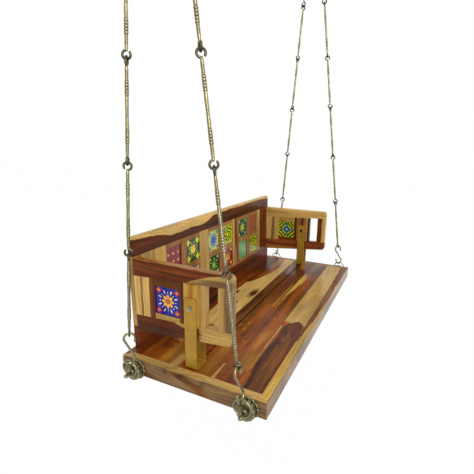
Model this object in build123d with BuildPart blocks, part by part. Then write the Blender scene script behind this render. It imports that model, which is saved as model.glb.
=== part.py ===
from build123d import *

import math
import os

os.makedirs("parts", exist_ok=True)

# A jhoola: a wooden bench that hangs from two ceiling hooks by four chains of turned brass rods.
# X runs along the seat and the bench faces -Y. The origin is on the ceiling, midway between the hooks.
# All sizes are in millimetres.

# Seat
seat_depth = 500
apron_height = 56
end_board = 26
long_board = 25
plank_thickness = 25
plank_widths = (85, 78, 119, 109)  # front to rear, and the fifth plank fills what is left
plank_bevel = 0.8
board_round = 2
batten_width = 45
batten_height = 28
batten_pitch = 300
battens = 4

# Backrest, measured up its leaning front face from the seat
back_inset = 52  # end of the seat to the end of the backrest
back_thickness = 22
back_lean = 1.5  # degrees
back_setback = 28  # rear edge of the seat to the foot of the backrest's front face
back_corner = 12
back_top_rail_height = 62
back_bottom_rail_height = 83
back_stile_width = 48
back_panel_width = 75  # between a stile and the strip beside the tiles
back_strip_width = 42
back_post_width = 72
back_board_thickness = 6  # behind the tiles
cross_slat_proud = 1.5

# Glazed tiles
tile_size = 100
tile_thickness = 6
tile_lip = 4  # width of tile that its frame covers along each edge
tile_inset = 4  # depth of the tile's face below the wood round it
tile_play = 0.2
tile_bevel = 0.6
upright_slat_width = 40
upper_slat_height = 16
middle_slat_height = 22
lower_slat_height = 13
bays = 3
tile_columns = 2
tile_rows = 2

# Arms, measured from the middle of the seat and from its top
arm_inset = 60  # end of the seat to the middle of an arm
arm_thickness = 26
arm_corner = 16
front_stile_width = 45
window_width = 44
window_stile_width = 19  # between the window and the post
post_width = 44
post_thickness = 47
post_position = 10
light_strip_width = 10
front_slat_width = 14
rear_slat_width = 21
arm_tile_height = 195  # seat to the middle of the tile
arm_top_rise = 74  # from the tile's opening, as the next three, which are at the backrest and at the front
top_rail_rise = (19, 37)  # lower edge of the top rail
bottom_rail_drop = (22, 5)  # upper edge of the bottom rail
underside_drop = (81, 47)
bolt_rise = 5  # from the middle of the tile
strap_rise = 36

# Straps of flat bar that carry the arms, and their bolts
strap_width = 40
strap_thickness = 4
strap_bend = 3
strap_tip = 6
bolt_diameter = 8
bolt_hole = 8.4
bolt_head_width = 13
bolt_head_height = 5
bolt_end = 7
nut_height = 6.5
thread_play = 0.05

# Corner fittings
stud_spacing = 390
stud_drop = 33  # seat top to the middle of the stud
stud_diameter = 8
stud_hole = 8.2
stud_reach = 16  # past the ring's plane, to the knob
stud_tail = 12  # past the inside of the end board
knob_diameter = 13
ring_standoff = 33  # end board to the ring's plane
ring_wire = 5
ring_radius = 25.5
ring_seat_gap = 0.1
rosette_radius = 31
rosette_petals = 12
rosette_petal_radius = 4.5
rosette_base = 6
rosette_cup_radius = 26
rosette_cup_height = 19
rosette_rim = 3  # width of the cup's wall at its lip
rosette_dish = 12  # depth of the cup's hollow
rosette_boss_radius = 9
rosette_height = 28
rib_taper = 6  # degrees

# S-hooks
s_wire = 7
s_width = 40
s_height = 103  # between the middles of the wire at its top and at its bottom
s_tip = 14
s_angles = {"front_left": 180, "rear_left": 135, "front_right": 135, "rear_right": 180}

# Chains of hooked-eye links
links_per_chain = 7
link_pitch = 254
eye_wire = 6.4
eye_radius = 10.2
eye_angle = 318
link_gap = 0.2
rod_diameter = 9
neck_length = 14
neck_diameter = 7.2
bead_rise = 1.2
bead_groups = 2
beads_per_group = 5
bead_step = 7
bead_spread = 116  # between the middles of the first and the last group

# Top rings, ceiling hooks and ceiling plates
top_ring_wire = 7
top_ring_radius = 28.5
top_eye_angle = 11  # of each of a ring's two eyes from the ring's lowest point
hook_wire = 10
hook_bend = 20
hook_angle = 305
hook_drop = 90  # ceiling to the middle of the wire at the hook's lowest point
hook_collar_width = 22
hook_collar_height = 8
shank_gap = 1.5  # ceiling to the end of a hook's shank
plate_diameter = 90
plate_thickness = 6
plate_edge = 1.5
plate_boss_diameter = 30
plate_boss_height = 8
screw_circle_diameter = 66
screws_per_plate = 4
screw_hole = 5.5
screw_head = 11

# Distance that the middle of the seat hangs in front of the hooks, because the backrest weighs on the rear
seat_forward = 63.8
pivot_gap = 0.3  # between pieces that turn in each other

# Lengths and heights that follow from the tiles and the wood round them
tile_opening = tile_size - 2 * tile_lip
bay_width = tile_columns * tile_opening + (tile_columns - 1) * upright_slat_width
bay_pitch = bay_width + back_post_width
bay_edge = (bays * bay_pitch - back_post_width) / 2  # middle of the backrest to the end of the last bay
strip_edge = bay_edge + back_strip_width
stile_edge = strip_edge + back_panel_width
back_length = 2 * (stile_edge + back_stile_width)
seat_length = back_length + 2 * back_inset
arm_spread = seat_length - 2 * arm_inset  # between the middles of the two arms
lowest_row = back_bottom_rail_height + lower_slat_height + tile_opening / 2
row_pitch = tile_opening + middle_slat_height
highest_opening = lowest_row + (tile_rows - 1) * row_pitch + tile_opening / 2
back_height = highest_opening + upper_slat_height + back_top_rail_height
post_front = post_position - post_width / 2
window_rear = post_front - window_stile_width
window_front = window_rear - window_width
arm_front = window_front - front_stile_width
tile_low = arm_tile_height - tile_opening / 2
tile_high = arm_tile_height + tile_opening / 2
arm_top = tile_high + arm_top_rise
top_rail_edge = [tile_high + rise for rise in top_rail_rise]
bottom_rail_edge = [tile_low - drop for drop in bottom_rail_drop]
arm_underside = [tile_low - drop for drop in underside_drop]
bolt_height = arm_tile_height + bolt_rise
strap_height = arm_tile_height + strap_rise

# ---- Where things hang, worked out from the top down ----
chain_x = seat_length / 2 + ring_standoff
hook_wire_z = -hook_drop
top_ring_z = hook_wire_z + (hook_wire + top_ring_wire) / 2 + pivot_gap - top_ring_radius
top_eye = math.radians(top_eye_angle)
upper_pivot_y = top_ring_radius * math.sin(top_eye)
upper_pivot_z = top_ring_z - top_ring_radius * math.cos(top_eye)

eye_drop = eye_radius - (top_ring_wire + eye_wire) / 2 - pivot_gap  # upper pivot to the top eye's middle
eye_step = 2 * eye_radius - eye_wire - link_gap  # between the middles of two eyes in each other
s_below_eye = eye_radius - (eye_wire + s_wire) / 2 - link_gap
ring_above_s = (s_wire + ring_wire) / 2 + pivot_gap
ring_above_stud = 2 * ring_radius - (ring_wire + stud_diameter) / 2 - ring_seat_gap
fittings_length = eye_drop - eye_step + s_below_eye + s_height - ring_above_s + ring_above_stud

seat_y = -seat_forward
stud_y = {"front": seat_y - stud_spacing / 2, "rear": seat_y + stud_spacing / 2}
rear_offset = stud_y["rear"] - upper_pivot_y
rear_chain = links_per_chain * link_pitch + fittings_length
hang = math.sqrt(rear_chain**2 - rear_offset**2)
front_offset = stud_y["front"] + upper_pivot_y
front_chain = math.hypot(front_offset, hang)
pitch = {"rear": link_pitch, "front": (front_chain - fittings_length) / links_per_chain}
stud_z = upper_pivot_z - hang
seat_top = stud_z + stud_drop
seat_plane = Plane(origin=(0, seat_y, seat_top))

corners = {}  # name: side, end and the plane at the chain's upper pivot that stands along the chain
for side_name, side in (("left", -1), ("right", 1)):
    for end_name, end in (("front", -1), ("rear", 1)):
        upper_pivot = Vector(side * chain_x, end * upper_pivot_y, upper_pivot_z)
        stud_point = Vector(side * chain_x, stud_y[end_name], stud_z)
        chain_plane = Plane(origin=upper_pivot, x_dir=(1, 0, 0), z_dir=upper_pivot - stud_point)
        corners[f"{end_name}_{side_name}"] = (side, end_name, chain_plane)


# ---- Ceiling plates and hooks ----
plate_underside = -plate_thickness - plate_boss_height
with BuildPart() as ceiling_plates:
    with BuildSketch():
        with Locations((-chain_x, 0), (chain_x, 0)):
            Circle(plate_diameter / 2)
    extrude(amount=-plate_thickness)
    chamfer(ceiling_plates.edges().group_by(Axis.Z)[0], plate_edge)
    with BuildSketch(Plane.XY.offset(-plate_thickness)):
        with Locations((-chain_x, 0), (chain_x, 0)):
            Circle(plate_boss_diameter / 2)
    extrude(amount=-plate_boss_height)
    for x in (-chain_x, chain_x):
        with Locations(Plane(origin=(x, 0, plate_underside), z_dir=(0, 0, -1))):
            Hole(hook_wire / 2 + thread_play, depth=-plate_underside)
        with Locations(Plane(origin=(x, 0, -plate_thickness), z_dir=(0, 0, -1))):
            with PolarLocations(screw_circle_diameter / 2, screws_per_plate, start_angle=180 / screws_per_plate):
                CounterSinkHole(screw_hole / 2, screw_head / 2, depth=plate_thickness)

ceiling_plates.part.label = "ceiling_plates"
export_step(ceiling_plates.part, "parts/ceiling_plates.step")

hook_middle_z = hook_wire_z + hook_bend
bend_top_z = hook_middle_z + hook_bend
with BuildPart() as ceiling_hooks:
    for x in (-chain_x, chain_x):
        with BuildSketch(Plane.YZ.offset(x)):
            with Locations((0, bend_top_z)):
                Circle(hook_wire / 2)
        revolve(axis=Axis((x, 0, hook_middle_z), (0, 1, 0)), revolution_arc=hook_angle)
        with BuildSketch(Plane.XY.offset(bend_top_z)):
            with Locations((x, 0)):
                Circle(hook_wire / 2)
        extrude(amount=-bend_top_z - shank_gap)
        with Locations((x, 0, bend_top_z)):
            Sphere(hook_wire / 2)
        with BuildSketch(Plane.XY.offset(plate_underside)):
            with Locations((x, 0)):
                RegularPolygon(hook_collar_width / 2, 6, major_radius=False)
        extrude(amount=-hook_collar_height)

ceiling_hooks.part.label = "ceiling_hooks"
export_step(ceiling_hooks.part, "parts/ceiling_hooks.step")

with BuildPart() as top_rings:
    with Locations((-chain_x, 0, top_ring_z), (chain_x, 0, top_ring_z)):
        Torus(top_ring_radius, top_ring_wire / 2, rotation=(0, 90, 0))

top_rings.part.label = "top_rings"
export_step(top_rings.part, "parts/top_rings.step")


# ---- Chains: interlocking turned rods, each with an open hooked eye at either end ----
def turned_link(eye_distance):
    """A rod link that stands on Z with the origin at its middle and both eyes in the XZ plane."""
    half = eye_distance / 2
    neck = neck_diameter / 2
    rod = rod_diameter / 2
    eye_end = half - eye_radius
    rod_end = eye_end - neck_length
    first_group = -bead_spread / 2
    group_pitch = bead_spread / (bead_groups - 1)
    first_bead = -(beads_per_group - 1) * bead_step / 2
    beads = [
        (rod, first_group + group * group_pitch + first_bead + bead * bead_step)
        for group in range(bead_groups)
        for bead in range(beads_per_group)
    ]
    with BuildPart() as link:
        with BuildSketch(Plane.XZ):
            with BuildLine():
                Polyline((0, 0), (rod, 0), (rod, rod_end), (neck, eye_end))
                CenterArc((0, eye_end), neck, 0, 90)
                Line((0, eye_end + neck), (0, 0))
            make_face()
            mirror(about=Plane.XZ)
            with Locations(*beads):
                RegularPolygon(bead_rise, 6, major_radius=False)
        revolve(axis=Axis.Z)
        for end in (-1, 1):
            with BuildSketch(Plane.YZ):
                with Locations((0, end * eye_end)):
                    Circle(eye_wire / 2)
            revolve(axis=Axis((0, 0, end * half), (0, 1, 0)), revolution_arc=eye_angle)
    return link.part


links = {end_name: turned_link(pitch[end_name] - eye_step) for end_name in ("front", "rear")}


def link_turn(name):
    """Angle from one link to the next: a right angle, eased so that the S-hook ends at its own angle."""
    spare = (s_angles[name] - 90 * links_per_chain + 90) % 180 - 90
    return 90 + spare / (links_per_chain + 1)


def down_chain(chain_plane, depth, angle):
    """The place that far down a chain from its upper pivot, turned by an angle about the chain."""
    return chain_plane.offset(-depth).location * Location((0, 0, 0), (0, 0, angle))


for name, (side, end_name, chain_plane) in corners.items():
    turn = link_turn(name)
    first_turn = turn - 90
    link_places = []
    for number in range(links_per_chain):
        depth = eye_drop + number * pitch[end_name] + (pitch[end_name] - eye_step) / 2
        link_places.append(down_chain(chain_plane, depth, first_turn + number * turn))
    with BuildPart() as chain:
        with Locations(*link_places):
            add(links[end_name])
    chain.part.label = f"chain_{name}"
    export_step(chain.part, f"parts/chain_{name}.step")


# ---- S-hooks ----
s_bend = (s_width - s_wire) / 2
s_bend_height = s_height / 2 - s_bend
s_slant = math.degrees(math.asin(s_bend / s_bend_height))
with BuildPart() as s_hook:
    with BuildLine(Plane.XZ) as s_path:
        upper_bend = CenterArc((0, s_bend_height), s_bend, -s_slant, 180 + s_slant)
        lower_bend = CenterArc((0, -s_bend_height), s_bend, 180 - s_slant, 180 + s_slant)
        Line((-s_bend, s_bend_height), (-s_bend, s_bend_height - s_tip))
        Line((s_bend, -s_bend_height), (s_bend, s_tip - s_bend_height))
        Line(upper_bend @ 0, lower_bend @ 0)
    with BuildSketch(Plane(origin=(-s_bend, 0, s_bend_height - s_tip), z_dir=(0, 0, 1))):
        Circle(s_wire / 2)
    sweep()

for side_name in ("left", "right"):
    hook_places = []
    for end_name in ("front", "rear"):
        name = f"{end_name}_{side_name}"
        lowest_eye = eye_drop + links_per_chain * pitch[end_name] - eye_step
        depth = lowest_eye + s_below_eye + s_height / 2
        hook_places.append(down_chain(corners[name][2], depth, s_angles[name]))
    with BuildPart() as s_hooks:
        with Locations(*hook_places):
            add(s_hook.part)
    s_hooks.part.label = f"s_hooks_{side_name}"
    export_step(s_hooks.part, f"parts/s_hooks_{side_name}.step")

# ---- Rings, studs and rosettes at the seat's corners ----
with BuildPart() as seat_rings:
    for side, end_name, chain_plane in corners.values():
        chain_length = front_chain if end_name == "front" else rear_chain
        ring_middle = chain_plane.offset(-chain_length + ring_above_stud - ring_radius).origin
        with Locations(ring_middle):
            Torus(ring_radius, ring_wire / 2, rotation=(0, 90, 0))

seat_rings.part.label = "seat_rings"
export_step(seat_rings.part, "parts/seat_rings.step")

# Each stud's plane lies on the outside of the end board, square to the stud
stud_planes = []
for side in (-1, 1):
    for y in stud_y.values():
        stud_planes.append(Plane(origin=(side * seat_length / 2, y, stud_z), x_dir=(0, 1, 0), z_dir=(side, 0, 0)))


def hexagon(width):
    """A hexagon measured across its flats."""
    RegularPolygon(width / 2, 6, major_radius=False)


with BuildPart() as stud:
    with BuildSketch(Plane.XY.offset(-end_board - stud_tail)):
        Circle(stud_diameter / 2)
    extrude(amount=end_board + stud_tail + ring_standoff + stud_reach)
    with Locations((0, 0, ring_standoff + stud_reach)):
        Sphere(knob_diameter / 2)
    with BuildSketch(Plane.XY.offset(-end_board)):
        hexagon(bolt_head_width)
        Circle(stud_diameter / 2 + thread_play, mode=Mode.SUBTRACT)
    extrude(amount=-nut_height)

with BuildPart() as ring_studs:
    with Locations(*stud_planes):
        add(stud.part)

ring_studs.part.label = "ring_studs"
export_step(ring_studs.part, "parts/ring_studs.step")

with BuildPart() as rosette:
    with BuildSketch():
        Circle(rosette_radius)
        with PolarLocations(rosette_radius, rosette_petals):
            Circle(rosette_petal_radius)
    extrude(amount=rosette_base)
    with BuildSketch(Plane.XZ):
        with BuildLine():
            lip_height = rosette_base + rosette_cup_height
            Polyline((0, 0), (rosette_cup_radius, 0), (rosette_cup_radius, lip_height),
                     (rosette_cup_radius - rosette_rim, lip_height),
                     (rosette_boss_radius + rosette_rim, lip_height - rosette_dish),
                     (rosette_boss_radius, lip_height - rosette_dish),
                     (rosette_boss_radius, rosette_height), (0, rosette_height), (0, 0))
        make_face()
    revolve(axis=Axis.Z)
    with BuildSketch(Plane.XY.offset(rosette_base)):
        with PolarLocations(rosette_cup_radius, rosette_petals, start_angle=180 / rosette_petals):
            Circle(rosette_petal_radius)
    extrude(amount=rosette_cup_height, taper=rib_taper)
    Cylinder(stud_hole / 2, 4 * rosette_height, mode=Mode.SUBTRACT)

with BuildPart() as rosettes:
    with Locations(*stud_planes):
        add(rosette.part)

rosettes.part.label = "rosettes"
export_step(rosettes.part, "parts/rosettes.step")

# ---- Seat: mitred apron, planks and battens ----
inner_length = seat_length - 2 * end_board
inner_depth = seat_depth - 2 * long_board
signs = ((-1, -1), (1, -1), (1, 1), (-1, 1))
outer_corners = [(x * seat_length / 2, y * seat_depth / 2) for x, y in signs]
inner_corners = [(x * inner_length / 2, y * inner_depth / 2) for x, y in signs]
for number, apron_name in enumerate(("front", "right", "rear", "left")):
    following = (number + 1) % 4
    with BuildPart() as apron:
        with BuildSketch(seat_plane):
            Polygon(outer_corners[number], outer_corners[following],
                    inner_corners[following], inner_corners[number], align=None)
        extrude(amount=-apron_height)
        fillet(apron.edges().group_by(SortBy.LENGTH)[-1], board_round)
        with Locations(*stud_planes):
            Cylinder(stud_hole / 2, 3 * end_board, mode=Mode.SUBTRACT)
    apron.part.label = f"apron_{apron_name}"
    export_step(apron.part, f"parts/apron_{apron_name}.step")

foot_points = [(side * arm_spread / 2, post_position) for side in (-1, 1)]
last_plank_width = inner_depth - sum(plank_widths)
plank_front = -inner_depth / 2
for number, plank_width in enumerate((*plank_widths, last_plank_width), start=1):
    with BuildPart() as plank:
        with BuildSketch(seat_plane):
            with Locations((0, plank_front + plank_width / 2)):
                Rectangle(inner_length, plank_width)
            with Locations(*foot_points):
                Circle(bolt_hole / 2, mode=Mode.SUBTRACT)
        extrude(amount=-plank_thickness)
        chamfer(plank.edges().filter_by(Axis.X).group_by(Axis.Z)[-1], plank_bevel)
    plank_front += plank_width
    plank.part.label = f"seat_plank_{number}"
    export_step(plank.part, f"parts/seat_plank_{number}.step")

with BuildPart() as seat_battens:
    with BuildSketch(seat_plane.offset(-plank_thickness)):
        with GridLocations(batten_pitch, batten_pitch, battens, 1):
            Rectangle(batten_width, inner_depth)
    extrude(amount=-batten_height)

seat_battens.part.label = "seat_battens"
export_step(seat_battens.part, "parts/seat_battens.step")

# ---- Backrest: a frame of rails, stiles and posts round three bays of tiles ----
back_front = seat_depth / 2 - back_setback
lean = math.radians(back_lean)
back_plane = Plane(
    origin=(0, seat_y + back_front, seat_top),
    x_dir=(1, 0, 0),
    z_dir=(0, -math.cos(lean), math.sin(lean)),
)
column_pitch = tile_opening + upright_slat_width
panel_low = back_bottom_rail_height
panel_high = back_height - back_top_rail_height
bay_middles = [(number - (bays - 1) / 2) * bay_pitch for number in range(bays)]
column_offsets = [(number - (tile_columns - 1) / 2) * column_pitch for number in range(tile_columns)]
row_middles = [lowest_row + number * row_pitch for number in range(tile_rows)]
tile_middles = [
    (bay + column, row) for row in reversed(row_middles) for bay in bay_middles for column in column_offsets
]


def upright(left, right, low=panel_low, high=panel_high):
    """A rectangle on the backrest's face between two distances along it and two heights."""
    with Locations(((left + right) / 2, (low + high) / 2)):
        Rectangle(right - left, high - low)


# The seats of the tiles' edges, which are cut out of the wood round each tile
with BuildSketch(back_plane.offset(-tile_inset)) as tile_rebates:
    with Locations(*tile_middles):
        Rectangle(tile_size + 2 * tile_play, tile_size + 2 * tile_play)


with BuildPart() as back_top_rail:
    with BuildSketch(back_plane) as back_top_outline:
        upright(-back_length / 2, back_length / 2, panel_high, back_height)
        fillet(back_top_outline.vertices().group_by(Axis.Y)[-1], back_corner)
    extrude(amount=-back_thickness)
    fillet(back_top_rail.faces().sort_by(Axis.Z)[-1].edges().filter_by(Axis.X), board_round)

back_top_rail.part.label = "back_top_rail"
export_step(back_top_rail.part, "parts/back_top_rail.step")

with BuildPart() as back_bottom_rail:
    with BuildSketch(back_plane):
        upright(-back_length / 2, back_length / 2, -back_thickness, panel_low)
    extrude(amount=-back_thickness)
    split(bisect_by=seat_plane, keep=Keep.TOP)

back_bottom_rail.part.label = "back_bottom_rail"
export_step(back_bottom_rail.part, "parts/back_bottom_rail.step")

for side_name, side in (("left", -1), ("right", 1)):
    with BuildPart() as back_stile:
        with BuildSketch(back_plane):
            upright(*sorted((side * stile_edge, side * back_length / 2)))
        extrude(amount=-back_thickness)
    back_stile.part.label = f"back_stile_{side_name}"
    export_step(back_stile.part, f"parts/back_stile_{side_name}.step")

with BuildPart() as back_posts:
    with BuildSketch(back_plane):
        for left, right in zip(bay_middles[:-1], bay_middles[1:]):
            upright(left + bay_width / 2, right - bay_width / 2)
    extrude(amount=-back_thickness)
    extrude(tile_rebates.sketch, amount=-tile_thickness, mode=Mode.SUBTRACT)

back_posts.part.label = "back_posts"
export_step(back_posts.part, "parts/back_posts.step")

with BuildPart() as back_side_strips:
    with BuildSketch(back_plane):
        upright(-strip_edge, -bay_edge)
        upright(bay_edge, strip_edge)
    extrude(amount=-back_thickness)
    extrude(tile_rebates.sketch, amount=-tile_thickness, mode=Mode.SUBTRACT)

back_side_strips.part.label = "back_side_strips"
export_step(back_side_strips.part, "parts/back_side_strips.step")

with BuildPart() as back_side_panels:
    with BuildSketch(back_plane):
        upright(-stile_edge, -strip_edge)
        upright(strip_edge, stile_edge)
    extrude(amount=-back_thickness)

back_side_panels.part.label = "back_side_panels"
export_step(back_side_panels.part, "parts/back_side_panels.step")

slat_depth = tile_inset + tile_thickness
row_edges = [panel_low] + [row + part * tile_opening / 2 for row in row_middles for part in (-1, 1)] + [panel_high]
with BuildPart() as back_slats:
    with BuildSketch(back_plane):
        for bay in bay_middles:
            for left, right in zip(column_offsets[:-1], column_offsets[1:]):
                for row in row_middles:
                    upright(bay + left + tile_opening / 2, bay + right - tile_opening / 2,
                            row - tile_opening / 2, row + tile_opening / 2)
    extrude(amount=-slat_depth)
    with BuildSketch(back_plane.offset(cross_slat_proud)):
        for bay in bay_middles:
            for low, high in zip(row_edges[::2], row_edges[1::2]):
                upright(bay - bay_width / 2, bay + bay_width / 2, low, high)
    extrude(amount=-slat_depth - cross_slat_proud, clean=False)
    extrude(tile_rebates.sketch, amount=-tile_thickness, mode=Mode.SUBTRACT)

back_slats.part.label = "back_slats"
export_step(back_slats.part, "parts/back_slats.step")

with BuildPart() as back_boards:
    with BuildSketch(back_plane.offset(-slat_depth)):
        for bay in bay_middles:
            upright(bay - bay_width / 2, bay + bay_width / 2)
    extrude(amount=-back_board_thickness)

back_boards.part.label = "back_boards"
export_step(back_boards.part, "parts/back_boards.step")

for number, tile_middle in enumerate(tile_middles, start=1):
    with BuildPart() as back_tile:
        with BuildSketch(back_plane.offset(-tile_inset)):
            with Locations(tile_middle):
                Rectangle(tile_size, tile_size)
        extrude(amount=-tile_thickness)
        chamfer(back_tile.faces().sort_by(Axis.Y)[0].edges(), tile_bevel)
    back_tile.part.label = f"back_tile_{number}"
    export_step(back_tile.part, f"parts/back_tile_{number}.step")


# ---- Arms: tapering rails round a panel, a tile, a post and an open window ----
def arm_height(y, edge):
    """Height at y of an edge whose heights at the backrest and at the arm's front are given."""
    share = (back_front - y) / (back_front - arm_front)
    return edge[0] + share * (edge[1] - edge[0])


def between_rails(rear, front):
    """The outline of an upright piece that fills the arm from rail to rail."""
    Polygon(
        (rear, arm_height(rear, bottom_rail_edge)),
        (front, arm_height(front, bottom_rail_edge)),
        (front, arm_height(front, top_rail_edge)),
        (rear, arm_height(rear, top_rail_edge)),
        align=None,
    )


post_rear = post_position + post_width / 2
strip_rear = post_rear + light_strip_width
tile_front = strip_rear + front_slat_width
tile_rear = tile_front + tile_opening
panel_front = tile_rear + rear_slat_width
past_back = back_front + back_thickness
arm_core = arm_thickness - 2 * (tile_inset + tile_thickness)

for side_name, side in (("left", -1), ("right", 1)):
    arm_plane = Plane(origin=(side * arm_spread / 2, seat_y, seat_top), x_dir=(0, 1, 0), z_dir=(1, 0, 0))

    with BuildPart() as arm_top_rail:
        with BuildSketch(arm_plane) as top_outline:
            Polygon(
                (past_back, arm_top),
                (arm_front, arm_top),
                (arm_front, arm_height(arm_front, top_rail_edge)),
                (past_back, arm_height(past_back, top_rail_edge)),
                align=None,
            )
            fillet(top_outline.vertices().group_by(Axis.Y)[-1].sort_by(Axis.X)[0], arm_corner)
        extrude(amount=arm_thickness / 2, both=True)
        split(bisect_by=back_plane, keep=Keep.TOP)
        fillet(arm_top_rail.faces().sort_by(Axis.Z)[-1].edges().filter_by(Axis.Y), board_round)
    arm_top_rail.part.label = f"{side_name}_arm_top_rail"
    export_step(arm_top_rail.part, f"parts/{side_name}_arm_top_rail.step")

    with BuildPart() as arm_bottom_rail:
        with BuildSketch(arm_plane) as bottom_outline:
            Polygon(
                (past_back, arm_height(past_back, arm_underside)),
                (arm_front, arm_height(arm_front, arm_underside)),
                (arm_front, arm_height(arm_front, bottom_rail_edge)),
                (past_back, arm_height(past_back, bottom_rail_edge)),
                align=None,
            )
            fillet(bottom_outline.vertices().group_by(Axis.X)[0].sort_by(Axis.Y)[0], arm_corner)
        extrude(amount=arm_thickness / 2, both=True)
        split(bisect_by=back_plane, keep=Keep.TOP)
    arm_bottom_rail.part.label = f"{side_name}_arm_bottom_rail"
    export_step(arm_bottom_rail.part, f"parts/{side_name}_arm_bottom_rail.step")

    with BuildPart() as arm_front_stile:
        with BuildSketch(arm_plane):
            between_rails(window_front, arm_front)
        extrude(amount=arm_thickness / 2, both=True)
        fillet(arm_front_stile.faces().sort_by(Axis.Y)[0].edges().filter_by(Axis.Z), board_round)
    arm_front_stile.part.label = f"{side_name}_arm_front_stile"
    export_step(arm_front_stile.part, f"parts/{side_name}_arm_front_stile.step")

    with BuildPart() as arm_rear_panel:
        with BuildSketch(arm_plane):
            between_rails(past_back, panel_front)
        extrude(amount=arm_thickness / 2, both=True)
        split(bisect_by=back_plane, keep=Keep.TOP)
    arm_rear_panel.part.label = f"{side_name}_arm_rear_panel"
    export_step(arm_rear_panel.part, f"parts/{side_name}_arm_rear_panel.step")

    slat_outlines = (
        (panel_front, tile_rear),
        (tile_front, strip_rear),
        (strip_rear, post_rear),
        (post_front, window_rear),
    )
    with BuildPart() as arm_slats:
        for rear, front in slat_outlines:
            with BuildSketch(arm_plane):
                between_rails(rear, front)
            extrude(amount=arm_thickness / 2, both=True, clean=False)
        with BuildSketch(arm_plane):
            between_rails(tile_rear, tile_front)
            with Locations(((tile_front + tile_rear) / 2, arm_tile_height)):
                Rectangle(tile_opening, tile_opening, mode=Mode.SUBTRACT)
        extrude(amount=arm_thickness / 2, both=True)
        with BuildSketch(arm_plane):
            with Locations(((tile_front + tile_rear) / 2, arm_tile_height)):
                Rectangle(tile_size + 2 * tile_play, tile_size + 2 * tile_play)
        extrude(amount=arm_thickness / 2 - tile_inset, both=True, mode=Mode.SUBTRACT)
        with BuildSketch(arm_plane):
            with Locations(((tile_front + tile_rear) / 2, arm_tile_height)):
                Rectangle(tile_size, tile_size)
        extrude(amount=arm_core / 2, both=True)
    arm_slats.part.label = f"{side_name}_arm_slats"
    export_step(arm_slats.part, f"parts/{side_name}_arm_slats.step")

    with BuildPart() as arm_tiles:
        for face in (-1, 1):
            with BuildSketch(arm_plane.offset(face * arm_core / 2)):
                with Locations(((tile_front + tile_rear) / 2, arm_tile_height)):
                    Rectangle(tile_size, tile_size)
            extrude(amount=face * tile_thickness)
        chamfer(arm_tiles.faces().sort_by(Axis.X)[0].edges(), tile_bevel)
        chamfer(arm_tiles.faces().sort_by(Axis.X)[-1].edges(), tile_bevel)
    arm_tiles.part.label = f"{side_name}_arm_tiles"
    export_step(arm_tiles.part, f"parts/{side_name}_arm_tiles.step")

    with BuildPart() as arm_post:
        with BuildSketch(arm_plane):
            between_rails(post_rear, post_front)
            with Locations((post_position, bolt_height)):
                Circle(bolt_hole / 2, mode=Mode.SUBTRACT)
        extrude(amount=post_thickness / 2, both=True)
    arm_post.part.label = f"{side_name}_arm_post"
    export_step(arm_post.part, f"parts/{side_name}_arm_post.step")

    strap_plane = Plane(
        origin=(side * arm_spread / 2, seat_y + post_position, seat_top), x_dir=(1, 0, 0), z_dir=(0, -1, 0)
    )
    with BuildPart() as arm_strap:
        with BuildSketch(strap_plane) as strap_section:
            Rectangle(post_thickness + 2 * strap_thickness, strap_height, align=(Align.CENTER, Align.MIN))
            fillet(strap_section.vertices().group_by(Axis.Y)[0], strap_bend + strap_thickness)
            with BuildSketch(mode=Mode.PRIVATE) as strap_hollow:
                with Locations((0, strap_thickness)):
                    Rectangle(post_thickness, strap_height, align=(Align.CENTER, Align.MIN))
                fillet(strap_hollow.vertices().group_by(Axis.Y)[0], strap_bend)
            add(strap_hollow.sketch, mode=Mode.SUBTRACT)
        extrude(amount=strap_width / 2, both=True)
        fillet(arm_strap.edges().filter_by(Axis.X).group_by(Axis.Z)[-1], strap_tip)
        with BuildSketch(arm_plane):
            with Locations((post_position, bolt_height)):
                Circle(bolt_hole / 2)
        extrude(amount=post_thickness, both=True, mode=Mode.SUBTRACT)
        with BuildSketch(seat_plane):
            with Locations(*foot_points):
                Circle(bolt_hole / 2)
        extrude(amount=2 * strap_thickness, mode=Mode.SUBTRACT)
    arm_strap.part.label = f"{side_name}_arm_strap"
    export_step(arm_strap.part, f"parts/{side_name}_arm_strap.step")


def bolt_and_nut(grip):
    """A hexagon bolt that stands on Z, its head below the XY plane, with its nut at the end of the grip."""
    with BuildPart() as bolt:
        with BuildSketch():
            hexagon(bolt_head_width)
        extrude(amount=-bolt_head_height)
        with BuildSketch():
            Circle(bolt_diameter / 2)
        extrude(amount=grip + nut_height + bolt_end)
        with BuildSketch(Plane.XY.offset(grip)):
            hexagon(bolt_head_width)
            Circle(bolt_diameter / 2 + thread_play, mode=Mode.SUBTRACT)
        extrude(amount=nut_height)
    return bolt.part


arm_bolt = bolt_and_nut(post_thickness + 2 * strap_thickness)
foot_bolt = bolt_and_nut(strap_thickness + plank_thickness)
with BuildPart() as arm_bolts:
    for side in (-1, 1):
        inner_face = side * (arm_spread / 2 - post_thickness / 2 - strap_thickness)
        bolt_point = (inner_face, seat_y + post_position, seat_top + bolt_height)
        foot_point = (side * arm_spread / 2, seat_y + post_position, seat_top + strap_thickness)
        with Locations(Plane(origin=bolt_point, z_dir=(side, 0, 0))):
            add(arm_bolt)
        with Locations(Plane(origin=foot_point, z_dir=(0, 0, -1))):
            add(foot_bolt)

arm_bolts.part.label = "arm_bolts"
export_step(arm_bolts.part, "parts/arm_bolts.step")
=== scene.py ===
"""Jhoola: a wooden swing seat with glazed tiles in its backrest and arms, hung on four chains of turned
brass links.

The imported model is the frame. The boards, tiles, straps and ceiling plates are its own solids with better
materials, and the turned, bent and cast brass is made here as surfaces worked out with numpy.
"""

import functools
import math

import bpy
import numpy as np
from bpy.props import FloatProperty, FloatVectorProperty, IntProperty, PointerProperty
from mathutils import Matrix, Vector


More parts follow.
